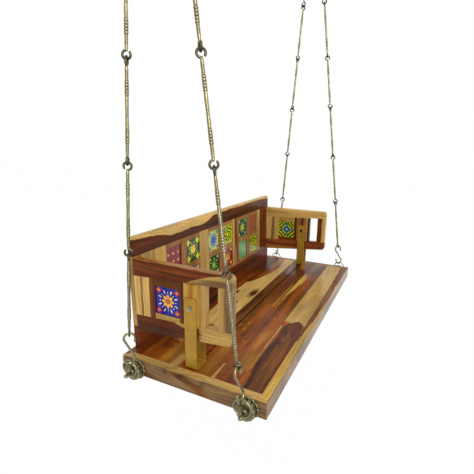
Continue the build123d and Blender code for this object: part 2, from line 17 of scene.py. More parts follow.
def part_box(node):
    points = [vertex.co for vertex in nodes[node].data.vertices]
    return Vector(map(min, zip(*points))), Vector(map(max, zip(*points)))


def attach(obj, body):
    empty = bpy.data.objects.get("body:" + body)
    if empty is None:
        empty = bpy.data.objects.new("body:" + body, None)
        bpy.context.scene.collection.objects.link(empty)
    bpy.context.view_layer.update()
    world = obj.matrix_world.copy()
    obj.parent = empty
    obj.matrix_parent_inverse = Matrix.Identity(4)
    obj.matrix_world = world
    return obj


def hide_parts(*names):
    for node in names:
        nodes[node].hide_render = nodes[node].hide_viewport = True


bl_info = {
    "name": "Jhoola Swing",
    "version": (1, 0, 0),
    "blender": (4, 5, 0),
    "location": "View3D > Sidebar > Jhoola",
    "description": "A sheesham swing seat with painted tiles on chains of turned brass links",
    "category": "Object",
}

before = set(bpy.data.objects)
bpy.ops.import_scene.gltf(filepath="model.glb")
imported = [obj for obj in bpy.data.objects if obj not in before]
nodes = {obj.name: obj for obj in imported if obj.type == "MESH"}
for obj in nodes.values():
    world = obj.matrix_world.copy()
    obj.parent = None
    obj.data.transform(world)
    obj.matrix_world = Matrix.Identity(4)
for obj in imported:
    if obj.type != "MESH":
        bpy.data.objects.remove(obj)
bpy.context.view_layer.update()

X_AXIS = (1.0, 0.0, 0.0)
Y_AXIS = (0.0, 1.0, 0.0)
JOINT = 0.00001  # half the soft edge where two boards of one node meet
GRAIN_DEPTH = 0.00012
PLAY = 0.0003  # between an S-hook and its ring, and between a top ring and what touches it
EYE_PLAY = 0.0002  # between the eyes of two links, and between an eye and its S-hook
RING_PLAY = 0.0001  # between a seat ring and its stud
THREAD_PLAY = 0.00005  # between a stud and its nut
TOP_EYE_ANGLE = math.radians(11)  # from a top ring's lowest point to each eye on it
EYE_ARC = math.radians(318)
HOOK_ARC = math.radians(305)  # of a ceiling hook's bend
COLLAR_TOP = -0.014  # below the ceiling
S_ANGLES = {"front_left": 180, "rear_left": 135, "front_right": 135, "rear_right": 180}  # about the chain


# ---- Properties ----


def distance(name, description, default):
    """A length property, in metres."""
    metres = dict(min=0.0, unit="LENGTH", subtype="DISTANCE", precision=4)
    return FloatProperty(name=name, description=description, default=default, **metres)


def tint(name, description, red, green, blue):
    """A colour property, given as the eye sees it and kept linear."""
    colour = dict(default=linear(red, green, blue), size=3, min=0.0, max=1.0, subtype="COLOR")
    return FloatVectorProperty(name=name, description=description, **colour)


def count(name, description, default, low, high):
    """A whole number property."""
    return IntProperty(name=name, description=description, default=default, min=low, max=high)


def linear(*channels):
    """Display values 0 to 255 as linear light: c / 12.92 when dark, else ((c + 0.055) / 1.055) to the
    power 2.4."""
    values = [channel / 255 for channel in channels]
    return tuple(v / 12.92 if v < 0.04045 else ((v + 0.055) / 1.055) ** 2.4 for v in values)


class JhoolaSizes(bpy.types.PropertyGroup):
    """Sizes of the brass work, and the wear of edges."""

    seat_length: distance("Seat length", "Outside of one end board to the outside of the other", 1.250)
    seat_forward: distance("Seat forward", "How far the seat's middle hangs in front of the hooks", 0.0638)
    stud_spacing: distance("Stud spacing", "Between the two ring studs of one end", 0.390)
    stud_diameter: distance("Stud diameter", "Thickness of a ring stud", 0.008)
    stud_reach: distance("Stud reach", "Length of a stud past its ring, to the knob", 0.016)
    stud_tail: distance("Stud tail", "Length of a stud behind its end board", 0.012)
    board_thickness: distance("Board thickness", "Thickness of the end boards", 0.026)
    nut_width: distance("Nut width", "Across the flats of a stud's nut", 0.013)
    nut_height: distance("Nut height", "Thickness of a stud's nut", 0.0065)
    knob_diameter: distance("Knob diameter", "Knob on the end of a stud", 0.013)
    ring_standoff: distance("Ring standoff", "End board to the plane of its rings", 0.033)
    ring_radius: distance("Ring radius", "Middle of the wire of a seat ring", 0.0255)
    ring_wire: distance("Ring wire", "Wire of a seat ring", 0.005)
    rosette_radius: distance("Rosette radius", "Middle of a rosette to the middle of its petals", 0.031)
    rosette_petal: distance("Rosette petal", "Radius of a petal, and of a rib of the cup", 0.0045)
    rosette_base: distance("Rosette base", "Thickness of a rosette's foot", 0.006)
    rosette_cup: distance("Rosette cup", "Middle of a rosette to the middle of its cup's ribs", 0.026)
    rosette_height: distance("Rosette height", "End board to the top of a rosette's boss", 0.028)
    rosette_petals: count("Rosette petals", "Lobes round each rosette", 12, 5, 24)
    s_wire: distance("S-hook wire", "Wire of an S-hook", 0.007)
    s_width: distance("S-hook width", "Overall width of an S-hook", 0.040)
    s_height: distance("S-hook height", "Between the wire's middles at the top and the bottom", 0.103)
    s_tip: distance("S-hook tip", "Straight length at either end of an S-hook", 0.014)
    links: count("Links per chain", "Turned links in each chain", 7, 1, 12)
    link_pitch: distance("Link pitch", "Length that one link adds to a rear chain", 0.254)
    eye_wire: distance("Eye wire", "Wire of a link's eyes", 0.0064)
    eye_radius: distance("Eye radius", "Middle of the wire of a link's eye", 0.0102)
    rod_diameter: distance("Rod diameter", "Plain part of a turned link", 0.009)
    bead_rise: distance("Bead rise", "Height of a turned bead above the rod", 0.0012)
    top_ring_wire: distance("Top ring wire", "Wire of the ring in a ceiling hook", 0.007)
    top_ring_radius: distance("Top ring radius", "Middle of the wire of a ring in a ceiling hook", 0.0285)
    hook_wire: distance("Hook wire", "Wire of a ceiling hook", 0.010)
    hook_bend: distance("Hook bend", "Radius of a ceiling hook's bend", 0.020)
    hook_drop: distance("Hook drop", "Ceiling to the wire's middle at a hook's lowest point", 0.090)
    collar_width: distance("Collar width", "Across the flats of the collar on a hook's shank", 0.022)
    collar_height: distance("Collar height", "Height of the collar on a hook's shank", 0.008)
    edge_wear: distance("Edge wear", "Rounding worn onto the edges of the boards", 0.0009)
    strap_wear: distance("Strap wear", "Rounding worn onto the edges of the arm straps", 0.0004)


class JhoolaColours(bpy.types.PropertyGroup):
    """Colours of the timber, glazes and metals."""

    sapwood: tint("Sapwood", "Pale outer wood of sheesham", 184, 150, 88)
    blond: tint("Blond", "Palest sapwood", 212, 176, 106)
    straw: tint("Straw", "Yellowest sapwood", 192, 154, 76)
    honey: tint("Honey", "Golden wood between sapwood and heartwood", 168, 114, 44)
    rose: tint("Rose", "Pinkish brown wood", 152, 108, 66)
    amber: tint("Amber", "Orange-brown heartwood", 146, 78, 20)
    russet: tint("Russet", "Red-brown heartwood", 112, 52, 18)
    walnut: tint("Walnut", "Plain brown heartwood", 118, 70, 24)
    umber: tint("Umber", "Darkest heartwood", 72, 38, 18)
    plum: tint("Plum", "Purple-brown heartwood", 92, 44, 18)
    ash: tint("Ash", "Weathered grey-brown wood", 138, 108, 74)
    grain_line: tint("Grain line", "Dark lines and pores of the grain", 44, 20, 12)
    # also the brightness painted into a rosette's dish, as painted light
    brass: tint("Brass", "Worn, bright places of the brass", 142, 136, 102)
    patina: tint("Patina", "Aged places of the brass", 54, 50, 30)
    gilt: tint("Gilt paint", "Paint of the arm straps", 174, 133, 34)
    zinc: tint("Zinc", "Plated bolts", 176, 174, 166)
    cobalt: tint("Cobalt glaze", "Deep blue of the tiles", 16, 16, 142)
    sky: tint("Sky glaze", "Mid blue of the tiles", 22, 104, 172)
    teal: tint("Teal glaze", "Blue-green of the tiles", 60, 150, 140)
    leaf: tint("Leaf glaze", "Dark green of the tiles", 8, 66, 30)
    moss: tint("Moss glaze", "Mid green of the tiles", 92, 150, 76)
    lime: tint("Lime glaze", "Yellow-green of the tiles", 204, 210, 20)
    lemon: tint("Lemon glaze", "Yellow of the tiles", 242, 206, 30)
    orange: tint("Orange glaze", "Orange of the tiles", 246, 174, 32)
    crimson: tint("Crimson glaze", "Red of the tiles", 176, 34, 40)
    maroon: tint("Maroon glaze", "Dark red of the tiles", 136, 22, 46)
    brick: tint("Brick", "Red-brown of the tiles and of some heartwood", 144, 76, 46)
    jade: tint("Jade glaze", "Middle green of the tiles", 92, 160, 104)
    cream: tint("Cream glaze", "White of the tiles", 226, 226, 204)
    backdrop: tint("Backdrop", "Floor and background", 255, 255, 255)


# ---- Values and patterns in a material ----


def feed(tree, socket, value):
    """Links a field or a socket to an input, or sets a plain number, colour or vector there."""
    if isinstance(value, Field):
        tree.links.new(value.socket, socket)
    elif isinstance(value, bpy.types.NodeSocket):
        tree.links.new(value, socket)
    elif socket.type == "RGBA":
        socket.default_value = (*value, 1.0)
    else:
        socket.default_value = value


def feed_named(tree, node, values):
    """Feeds a node's inputs by name."""
    for name, value in values.items():
        feed(tree, node.inputs[name], value)


def added(tree, kind, *values, **settings):
    """Adds a node with its settings, and feeds the values to its first inputs."""
    node = tree.nodes.new(kind)
    for name, setting in settings.items():
        setattr(node, name, setting)
    for socket, value in zip(node.inputs, values):
        feed(tree, socket, value)
    return node


def calculated(tree, operation, *values):
    """A Math node's result, as a field."""
    return Field(tree, added(tree, "ShaderNodeMath", *values, operation=operation).outputs[0])


class Field:
    """A value that varies over a surface. Arithmetic on fields adds Math nodes to the material's tree."""

    def __init__(self, tree, socket):
        self.tree = tree
        self.socket = socket

    def math(self, operation, *others):
        return calculated(self.tree, operation, self, *others)

    def __add__(self, other):
        return self.math("ADD", other)

    def __sub__(self, other):
        return self.math("SUBTRACT", other)

    def __rsub__(self, other):
        return calculated(self.tree, "SUBTRACT", other, self)

    def __mul__(self, other):
        return self.math("MULTIPLY", other)

    __radd__ = __add__
    __rmul__ = __mul__

    def size(self):
        return self.math("ABSOLUTE")

    def power(self, exponent):
        return self.math("POWER", exponent)

    def larger(self, other):
        return self.math("MAXIMUM", other)

    def smaller(self, other):
        return self.math("MINIMUM", other)

    def cosine(self):
        return self.math("COSINE")

    def spread(self, start, end, low=0.0, high=1.0, curve="LINEAR"):
        """A straight, clamped change from low at start to high at end."""
        node = added(self.tree, "ShaderNodeMapRange", self, start, end, low, high, interpolation_type=curve)
        return Field(self.tree, node.outputs[0])

    def rise(self, start, end, low=0.0, high=1.0):
        """low before start, high after end, and a smooth step between them."""
        return self.spread(start, end, low, high, "SMOOTHSTEP")

    def within(self, limit, soft):
        """1 below the limit and 0 above it, with a smooth step over twice the softness."""
        return (limit - self).rise(-soft, soft)

    def between(self, low, high, soft):
        """1 between low and high and 0 outside, with smooth steps over twice the softness."""
        return (self - low).rise(soft * -1.0, soft) * (high - self).rise(soft * -1.0, soft)


def hypotenuse(first, second):
    """Distance of a point from the origin of its plane."""
    return (first * first + second * second).power(0.5)


def bearing(first, second):
    """Angle of a point about the origin of its plane."""
    return second.math("ARCTAN2", first)


def surface_place(tree):
    """The place on the surface, in the object's own space."""
    return added(tree, "ShaderNodeTexCoord").outputs["Object"]


def axes(tree, place):
    """A place's three coordinates as fields."""
    return [Field(tree, output) for output in added(tree, "ShaderNodeSeparateXYZ", place).outputs]


def point(tree, *coordinates):
    """Three fields or numbers as one vector."""
    return added(tree, "ShaderNodeCombineXYZ", *coordinates).outputs[0]


def stretched(tree, place, scale=(1.0, 1.0, 1.0), shift=(0.0, 0.0, 0.0)):
    """A vector scaled by axis and then shifted."""
    mapping = added(tree, "ShaderNodeMapping")
    feed_named(tree, mapping, {"Vector": place, "Scale": scale, "Location": shift})
    return mapping.outputs[0]


def noise(tree, place, scale=1.0, detail=2.0, roughness=0.5):
    """Smooth noise, 0 to 1, about 0.5."""
    node = added(tree, "ShaderNodeTexNoise")
    feed_named(tree, node, {"Vector": place, "Scale": scale, "Detail": detail, "Roughness": roughness})
    return Field(tree, node.outputs[0])


MIX_SOCKETS = {"RGBA": (6, 7, 2), "VECTOR": (4, 5, 1)}  # first and second input, and output, of a Mix node


def mix(tree, amount, first, second, kind="RGBA"):
    """The first colour or vector where amount is 0, and the second where it is 1."""
    first_input, second_input, output = MIX_SOCKETS[kind]
    node = added(tree, "ShaderNodeMix", amount, data_type=kind)
    feed(tree, node.inputs[first_input], first)
    feed(tree, node.inputs[second_input], second)
    return node.outputs[output]


def dimmed(tree, colour, amount):
    """A colour multiplied by a field."""
    node = added(tree, "ShaderNodeVectorMath", colour, operation="SCALE")
    feed(tree, node.inputs["Scale"], amount)
    return node.outputs[0]


def tinted(tree, colour, tint_by):
    """A colour multiplied by another, channel by channel."""
    return added(tree, "ShaderNodeVectorMath", colour, tint_by, operation="MULTIPLY").outputs[0]


def new_material(name):
    """An empty material with its shader: (material, tree, shader)."""
    material = bpy.data.materials.new(name)
    material.use_nodes = True
    return material, material.node_tree, material.node_tree.nodes["Principled BSDF"]


def relief(tree, shader, height, depth):
    """Turns a height field into the shader's normal, depth being the distance in metres from 0 to 1."""
    bump = added(tree, "ShaderNodeBump")
    feed_named(tree, bump, {"Strength": 1.0, "Distance": depth, "Height": height})
    tree.links.new(bump.outputs[0], shader.inputs["Normal"])


def new_group(name, inputs, outputs):
    """A node group with sockets given as labels and kinds: (group, its inputs, its output's sockets)."""
    group = bpy.data.node_groups.new(name, "ShaderNodeTree")
    kinds = {"value": "NodeSocketFloat", "colour": "NodeSocketColor", "place": "NodeSocketVector"}
    for direction, sockets in (("INPUT", inputs), ("OUTPUT", outputs)):
        for label, kind in sockets.items():
            group.interface.new_socket(label, in_out=direction, socket_type=kinds[kind])
    source = added(group, "NodeGroupInput")
    sink = added(group, "NodeGroupOutput")
    given = {
        label: Field(group, source.outputs[label]) if kind == "value" else source.outputs[label]
        for label, kind in inputs.items()
    }
    return group, given, sink.inputs


def use_group(tree, group, **values):
    """Adds a group to a tree and feeds its inputs by name: the outputs."""
    node = added(tree, "ShaderNodeGroup", node_tree=group)
    feed_named(tree, node, values)
    return node.outputs


# ---- Sheesham ----


def drawn_out(tree, place, along, across, detail, roughness=0.5, shift=(0.0, 0.0, 0.0)):
    """Noise drawn out along the grain, from its scales along and across it."""
    return noise(tree, stretched(tree, place, (along, across, across), shift), 1.0, detail, roughness)


def grain_group(colours):
    """Sheesham grain, for a place whose X runs along the board.

    The year rings are circles about a wandering pith behind the board: the distance from it, times the
    rings per metre, plus a swell where the board is cut through a bulge of the trunk, gives the phase of
    the dark lines, with finer lines at three times that phase. Long streaks, fine fibres and short pores
    are noise drawn out along the grain. Pale wood shows all of these less.
    """
    group, given, sink = new_group(
        "sheesham_grain",
        {"Colour": "colour", "Place": "place", "Rings": "value", "Figure": "value", "Swell": "value"},
        {"Colour": "colour", "Height": "value", "Roughness": "value"},
    )
    place = given["Place"]
    _, across, through = axes(group, place)

    sway = drawn_out(group, place, 3.0, 12.0, detail=3.0) - 0.5
    drift = drawn_out(group, place, 0.8, 2.0, detail=1.0, shift=(3.1, 0.0, 7.7)) - 0.5
    patchy = drawn_out(group, place, 4.0, 26.0, detail=2.0, shift=(1.7, 0.0, 0.0)).rise(0.35, 0.65)
    streaks = drawn_out(group, place, 2.2, 60.0, detail=5.0, roughness=0.62, shift=(5.0, 2.0, 0.0))
    glow = drawn_out(group, place, 3.4, 24.0, detail=3.0, shift=(9.0, 4.0, 0.0))
    fibres = drawn_out(group, place, 16.0, 620.0, detail=3.0, roughness=0.6)
    pores = drawn_out(group, place, 60.0, 1500.0, detail=1.0).rise(0.60, 0.70)

    sway_reach, drift_reach, pith_depth = 0.072, 0.16, 0.03  # in metres
    ring_across = across + (sway * sway_reach + drift * drift_reach) * given["Figure"]
    ring_through = through + pith_depth + sway * 0.03
    phase = hypotenuse(ring_across, ring_through) * given["Rings"] + given["Swell"]
    rings = (phase * (2 * math.pi)).cosine().spread(-1.0, 1.0).power(3.0)
    fine_rings = (phase * (6 * math.pi)).cosine().spread(-1.0, 1.0).power(1.6)

    grey = added(group, "ShaderNodeRGBToBW", given["Colour"])
    contrast = Field(group, grey.outputs[0]).spread(0.04, 0.42, 1.0, 0.34)

    shade = tinted(group, given["Colour"], (0.72, 0.64, 0.52))
    light = tinted(group, given["Colour"], (1.52, 1.46, 1.20))
    colour = mix(group, glow.rise(0.30, 0.70), shade, light)
    colour = mix(group, contrast * 0.75 + 0.15, given["Colour"], colour)
    for lines in (
        rings * (patchy * 0.7 + 0.3) * contrast * 0.74,
        fine_rings * (1.0 - patchy) * contrast * 0.46,
        streaks.rise(0.52, 0.76) * contrast * 0.55,
    ):
        colour = mix(group, lines, colour, colours.grain_line)
    colour = dimmed(group, colour, streaks.rise(0.25, 0.50, 1.22, 1.04))
    colour = dimmed(group, colour, fibres.spread(0.25, 0.75, 0.84, 1.14))
    colour = mix(group, pores * (contrast * 0.45 + 0.08), colour, colours.grain_line)
    feed(group, sink["Colour"], colour)
    feed(group, sink["Height"], fibres * 0.5 + (1.0 - pores) * 0.4 + rings * 0.1)
    feed(group, sink["Roughness"], fibres * 0.10 + pores * 0.15 + 0.16)
    return group


def patch_group():
    """Lays a patch of other wood over a colour: where along is between Start and End, and across is
    between Low and High. Its ends are four times as soft as its sides."""
    measures = ("Along", "Across", "Start", "End", "Low", "High", "Softness")
    inputs = {"Colour": "colour", "Patch": "colour", **dict.fromkeys(measures, "value")}
    group, given, sink = new_group("grain_patch", inputs, {"Colour": "colour"})
    along, across, start, end, low, high, soft = (given[measure] for measure in measures)
    amount = along.between(start, end, soft * 4.0) * across.between(low, high, soft)
    feed(group, sink["Colour"], mix(group, amount, given["Colour"], given["Patch"]))
    return group


def edge_line(tree, along, line):
    """A patch's edge in metres, from millimetres: one number, or points (along, across) that a smooth curve
    goes through."""
    if not isinstance(line, list):
        return line / 1000
    us, vs = np.array(line).T / 1000
    low, high = float(vs.min()), float(vs.max())
    node = added(tree, "ShaderNodeFloatCurve")
    curve = node.mapping.curves[0]
    places = list(zip((us - us[0]) / (us[-1] - us[0]), (vs - low) / (high - low)))
    for place, knot in zip((places[0], places[-1]), (curve.points[0], curve.points[-1])):
        knot.location = place
    for place in places[1:-1]:
        curve.points.new(*place)
    node.mapping.update()
    feed(tree, node.inputs["Value"], along.spread(float(us[0]), float(us[-1])))
    return Field(tree, node.outputs[0]).spread(0.0, 1.0, low, high)


def oval(along, across, u, v, length, width):
    """Distance from (u, v) on a board, in lengths along and widths across, all in millimetres."""
    return hypotenuse((along - u / 1000) * (1000 / length), (across - v / 1000) * (1000 / width))


class Timber:
    """Makes the wood materials, all from the same two node groups."""

    def __init__(self, colours):
        self.colours = colours
        self.grain = grain_group(colours)
        self.patch = patch_group()
        self.made = 0
        self.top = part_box("seat_plank_1")[1].z
        low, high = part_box("apron_left")
        self.middle = (low.y + high.y) / 2

    def board_place(self, lie, x, y, z):
        """Place on a board as (along, across, through), for the way that the board lies. Lengthwise is
        from the seat's middle, heights are from the seat's top."""
        y = y - self.middle
        z = z - self.top
        return {
            "flat": (x, y, z),
            "across": (y, x, z),
            "rail": (x, z, y),
            "upright": (z, x, y),
            "arm_rail": (y, z, x),
            "arm_upright": (z, y, x),
        }[lie]

    def patched(self, tree, colour, place, along, across, patches):
        """A colour under patches of other wood. A loose patch, of some softness, has edges that wander."""
        wander = drawn_out(tree, place, 7.0, 30.0, detail=3.0) - 0.5
        flutter = drawn_out(tree, place, 24.0, 110.0, detail=3.0, shift=(4.0, 0.0, 0.0)) - 0.5
        loose_along, loose_across = along + wander * 0.030, across + flutter * 0.010
        for patch_colour, start, end, low, high, softness in patches:
            u, v = (loose_along, loose_across) if softness else (along, across)
            low, high = edge_line(tree, along, low), edge_line(tree, along, high)
            patch = getattr(self.colours, patch_colour)[:]
            colour = use_group(
                tree, self.patch, Colour=colour, Patch=patch, Along=u, Across=v, Start=start / 1000,
                End=end / 1000, Low=low, High=high, Softness=max(softness, 0.02) / 1000,
            )["Colour"]
        return colour

    def wood(
        self, name, lie, base, patches,
        rings=120.0, figure=1.0, gloss=1.0, crosswise=None, bulges=(), knots=(),
    ):
        """A board's material, with places in millimetres.

        base names the colour it has overall. Each patch is (colour, start, end, low, high, softness),
        where low and high are numbers or lines of points, and a softness of 0 means a joint between two
        boards. crosswise is (lie, low, high): a part of the node whose boards lie another way. Each bulge
        is (along, across, length, width, rings): its rings are nested ovals, because the swell is the
        rings times the exponential of minus the squared distance. Each knot is (along, across, length,
        width).
        """
        material, tree, shader = new_material(name)
        spot = axes(tree, surface_place(tree))
        self.made += 1
        shift = (self.made * 0.37 % 5.0, self.made * 0.61 % 3.0, 0.0)
        along, across, through = self.board_place(lie, *spot)
        place = stretched(tree, point(tree, along, across, through), shift=shift)
        if crosswise:
            other_lie, low, high = crosswise
            other = stretched(tree, point(tree, *self.board_place(other_lie, *spot)), shift=shift)
            place = mix(tree, across.between(low / 1000, high / 1000, JOINT), place, other, "VECTOR")
        colour = getattr(self.colours, base)[:]
        if patches:
            colour = self.patched(tree, colour, place, along, across, patches)
        swells = [*bulges, *((u, v, 1.6 * length, 1.3 * width, 1.6) for u, v, length, width in knots)]
        swell = 0.0
        for *ring_oval, count in swells:
            far = oval(along, across, *ring_oval)
            swell = (far * far * -1.0).math("EXPONENT") * count + swell
        if knots:
            rough = drawn_out(tree, place, 60.0, 110.0, detail=3.0) - 0.5
        for u, v, length, width in knots:
            far = oval(along, across, u, v, length / 2, width / 2) + rough * 1.8
            colour = mix(tree, far.within(1.8, 0.7) * 0.7, colour, self.colours.walnut[:])
            colour = mix(tree, far.within(1.0, 0.25), colour, self.colours.umber[:])
        grain = use_group(
            tree, self.grain, Colour=colour, Place=place, Rings=rings, Figure=figure, Swell=swell
        )
        feed_named(tree, shader, {
            "Base Color": grain["Colour"], "Roughness": grain["Roughness"], "IOR": 1.5,
            "Specular IOR Level": 0.07, "Coat Weight": 0.08 * gloss, "Coat Roughness": 0.08,
        })
        relief(tree, shader, grain["Height"], GRAIN_DEPTH)
        return material


@functools.cache
def timber():
    """The wood maker, made once."""
    return Timber(bpy.context.scene.jhoola_colours)


def dress(node, material, edge=0.0):
    """Gives a CAD node its material, and rounds its edges."""
    piece = nodes[node]
    piece.data.materials.clear()
    piece.data.materials.append(material)
    if edge:
        weld = piece.modifiers.new("weld", "WELD")
        weld.merge_threshold = 0.00001
        bevel = piece.modifiers.new("worn_edges", "BEVEL")
        bevel.width = edge
        bevel.segments = 2
        bevel.limit_method = "ANGLE"
        bevel.angle_limit = math.radians(35)
        bevel.harden_normals = True


def board(lie, base, *patches, **settings):
    """What a board's wood is made from: (lie, base colour, patches, further settings)."""
    return lie, base, patches, settings


def dress_boards(boards, edge):
    """Gives each node named in boards its own wood."""
    for node, (lie, base, patches, wood_settings) in boards.items():
        dress(node, timber().wood(f"{node}_wood", lie, base, patches, **wood_settings), edge)


# ---- Tiles ----

RIM = ((0.0405, 0.0415), (0.0440, 0.0448))  # where a painted rim rises and falls, from the middle
CORNER = 0.0335  # middle of a tile to the middle of a corner's bloom, along either side
STROKE = 0.0006  # half the soft edge of a brush stroke
DAB = 0.0005  # half the soft edge of a round dab


class Painting:
    """A tile's painted colour, laid on coat by coat. u runs across the tile from its middle, and v up."""

    def __init__(self, tree, u, v, colours):
        self.tree, self.u, self.v, self.colours = tree, u, v, colours
        self.colour = None

    def lay(self, name, amount=None):
        """Lays a colour over the painting where amount is 1, or all over where none is given."""
        colour = getattr(self.colours, name)[:]
        self.colour = colour if amount is None else mix(self.tree, amount, self.colour, colour)


def glaze(colours, name, node, across, paint):
    """A glazed tile's material. across is 0 or 1 for a tile whose width runs along X or Y, and paint(tile)
    lays the colours on a Painting, whose lines waver a little."""
    material, tree, shader = new_material(name)
    low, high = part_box(node)
    centre = (low + high) / 2
    spot = axes(tree, surface_place(tree))
    u, v = spot[across] - centre[across], spot[2] - centre[2]
    place = point(tree, u, v, 0.0)
    brush = noise(tree, place, 140.0, detail=3.0) - 0.5
    stroke = noise(tree, stretched(tree, place, shift=(7.0, 3.0, 0.0)), 130.0, detail=3.0) - 0.5
    tile = Painting(tree, u + brush * 0.0022, v + stroke * 0.0022, colours)
    paint(tile)
    pooled = noise(tree, place, 55.0, detail=4.0)
    crazing = added(tree, "ShaderNodeTexVoronoi", feature="DISTANCE_TO_EDGE")
    feed_named(tree, crazing, {"Vector": place, "Scale": 260.0})
    cracks = Field(tree, crazing.outputs[0]).rise(0.0, 0.02)
    colour = dimmed(tree, tile.colour, pooled.rise(0.25, 0.75, 0.80, 1.18))
    colour = dimmed(tree, colour, cracks * 0.12 + 0.88)
    feed_named(tree, shader, {
        "Base Color": colour, "Roughness": pooled.rise(0.3, 0.7, 0.10, 0.22), "IOR": 1.52,
        "Specular IOR Level": 0.25, "Coat Weight": 0.25, "Coat Roughness": 0.04,
    })
    relief(tree, shader, pooled + brush * 0.6, 0.0004)
    return material


def blossom(ground, petal, count, reach, heart, dash, corner, rim=None, corner_size=1.0):
    """A flower on a ground: count petals whose reach follows the size of the cosine of half the count
    times the bearing, a round heart, pointed leaves beyond the petals and their gaps, a small bloom in
    each corner, and a painted rim. A leaf narrows with the distance from its middle."""

    def paint(tile):
        far = hypotenuse(tile.u, tile.v)
        turned_by = bearing(tile.u, tile.v) * (count / 2)
        lobes = turned_by.cosine().size()
        gaps = (turned_by + math.pi / 2).cosine().size()
        corner_u, corner_v = tile.u.size() - CORNER, tile.v.size() - CORNER
        corner_far = hypotenuse(corner_u, corner_v)
        corner_lobes = (bearing(corner_u, corner_v) * 2.0).cosine().size()
        tile.lay(ground)
        if rim:
            edge = tile.u.size().larger(tile.v.size())
            tile.lay(rim, edge.rise(*RIM[0]) * (1.0 - edge.rise(*RIM[1])))
        bloom = corner_lobes * (0.0045 * corner_size) + 0.0050 * corner_size
        tile.lay(corner, corner_far.within(bloom, STROKE))
        tile.lay("orange", corner_far.within(0.0036 * corner_size, DAB))
        tile.lay(heart, corner_far.within(0.0016 * corner_size, DAB))
        for ray, thinness, middle, taper in ((gaps, 0.945, 1.42, 0.19), (lobes, 0.975, 1.28, 0.20)):
            leaf = ray - thinness - (far - reach * middle).size() * (taper / reach)
            tile.lay(dash, leaf.rise(-0.02, 0.02))
        flower = far.within(lobes.power(0.7) * (reach * 0.46) + reach * 0.54, STROKE)
        tile.lay(petal, flower)
        tile.lay(ground, flower * gaps.rise(0.955, 0.99) * far.rise(reach * 0.36, reach * 0.42) * 0.8)
        tile.lay(heart, far.within(reach * 0.34, DAB))
        tile.lay(petal, far.within(reach * 0.13, DAB))

    return paint


def posies(ground, petal, heart, leaf, pitch):
    """Small five-petalled flowers at an even pitch, with a dot of leaf colour between every four."""

    def from_middle(tile, shift_u, shift_v):
        """Distance and bearing from the nearest cell's middle, for cells shifted by a part of the pitch."""
        cells = [
            (value + shift * pitch).math("WRAP", pitch / 2, -pitch / 2)
            for value, shift in ((tile.u, shift_u), (tile.v, shift_v))
        ]
        return hypotenuse(*cells), bearing(*cells)

    def paint(tile):
        far, turn = from_middle(tile, 0.0, 0.4)
        dot, _ = from_middle(tile, 0.5, 0.9)
        lobes = (turn * 2.5).cosine().size()
        tile.lay(ground)
        tile.lay(leaf, dot.within(pitch * 0.10, STROKE))
        tile.lay(petal, far.within(lobes * (pitch * 0.13) + pitch * 0.11, STROKE))
        tile.lay(heart, far.within(pitch * 0.12, STROKE))

    return paint


def scrollwork(ground, line, heart):
    """Scrolls round a heart, inside a plain margin: lines where the cosine of three times the bearing plus a
    multiple of the distance is small, and rings where the cosine of a larger multiple is large."""

    def paint(tile):
        far = hypotenuse(tile.u, tile.v)
        curl = bearing(tile.u, tile.v) * 3.0 + far * 170.0
        lines = 1.0 - (curl.cosine().size() - 0.60).rise(-0.12, 0.12)
        rounds = ((far * 210.0).cosine().size() - 0.80).rise(-0.10, 0.10)
        tile.lay(ground)
        tile.lay(line, lines * far.rise(0.006, 0.009))
        tile.lay(line, rounds * 0.7)
        tile.lay(ground, tile.u.size().larger(tile.v.size()).rise(0.0395, 0.0405))
        tile.lay(heart, far.within(0.0075, 0.0008))

    return paint


def trellis(ground, line, heart, dots):
    """Diamonds of line round a middle flower with a pale eye, parted by arms of ground, and with four dots
    on the arms: a diamond is where the cosine of the sum of both coordinates' sizes is large."""

    def paint(tile):
        far = hypotenuse(tile.u, tile.v)
        short, long = tile.u.size().smaller(tile.v.size()), tile.u.size().larger(tile.v.size())
        waves = ((tile.u.size() + tile.v.size()) * (math.pi / 0.0215)).cosine().size()
        leaves = (bearing(tile.u, tile.v) * 4.0).cosine().size()
        tile.lay(ground)
        tile.lay(line, waves.rise(0.62, 0.72) * short.rise(0.0018, 0.0030))
        tile.lay(dots, hypotenuse(long - 0.0285, short).within(0.0064, 0.0008))
        tile.lay(heart, far.within(leaves * 0.005 + 0.0125, 0.0008))
        tile.lay("cream", far.within(0.0050, 0.0020))

    return paint


def mottle(ground, second):
    """A plain glaze that pools from one colour to another."""

    def paint(tile):
        tile.lay(ground)
        pool = noise(tile.tree, point(tile.tree, tile.u, tile.v, 0.0), 60.0, detail=4.0)
        tile.lay(second, pool.rise(0.38, 0.62))

    return paint


# ---- Metals ----


def metal(name, metallic):
    """An empty metal: (material, tree, shader, place on the surface)."""
    material, tree, shader = new_material(name)
    shader.inputs["Metallic"].default_value = metallic
    return material, tree, shader, surface_place(tree)


def brass_material(colours, name, aged=0.0, skin=0.00001):
    """Antique brass: bright where the "worn" attribute is high, with darker patina in the recesses and in
    cloudy patches. The skin is the depth in metres of its fine pitting, and a rougher skin is duller."""
    material, tree, shader, place = metal(name, 1.0)
    # real wear, except in a rosette's dish, where full wear is painted light brightening the dish's shade
    worn = Field(tree, added(tree, "ShaderNodeAttribute", attribute_name="worn").outputs["Fac"])
    cloud = noise(tree, place, 26.0, detail=3.0)
    spots = noise(tree, place, 420.0, detail=3.0, roughness=0.6)
    bright = worn * cloud.rise(0.25, 0.60, 0.80, 1.0) * (1.0 - aged)
    colour = mix(tree, bright, colours.patina[:], colours.brass[:])
    feed(tree, shader.inputs["Base Color"], dimmed(tree, colour, spots.rise(0.30, 0.60, 0.86, 1.06)))
    feed(tree, shader.inputs["Roughness"], 0.38 + 3000 * skin - bright * 0.20)
    relief(tree, shader, spots, skin)
    return material


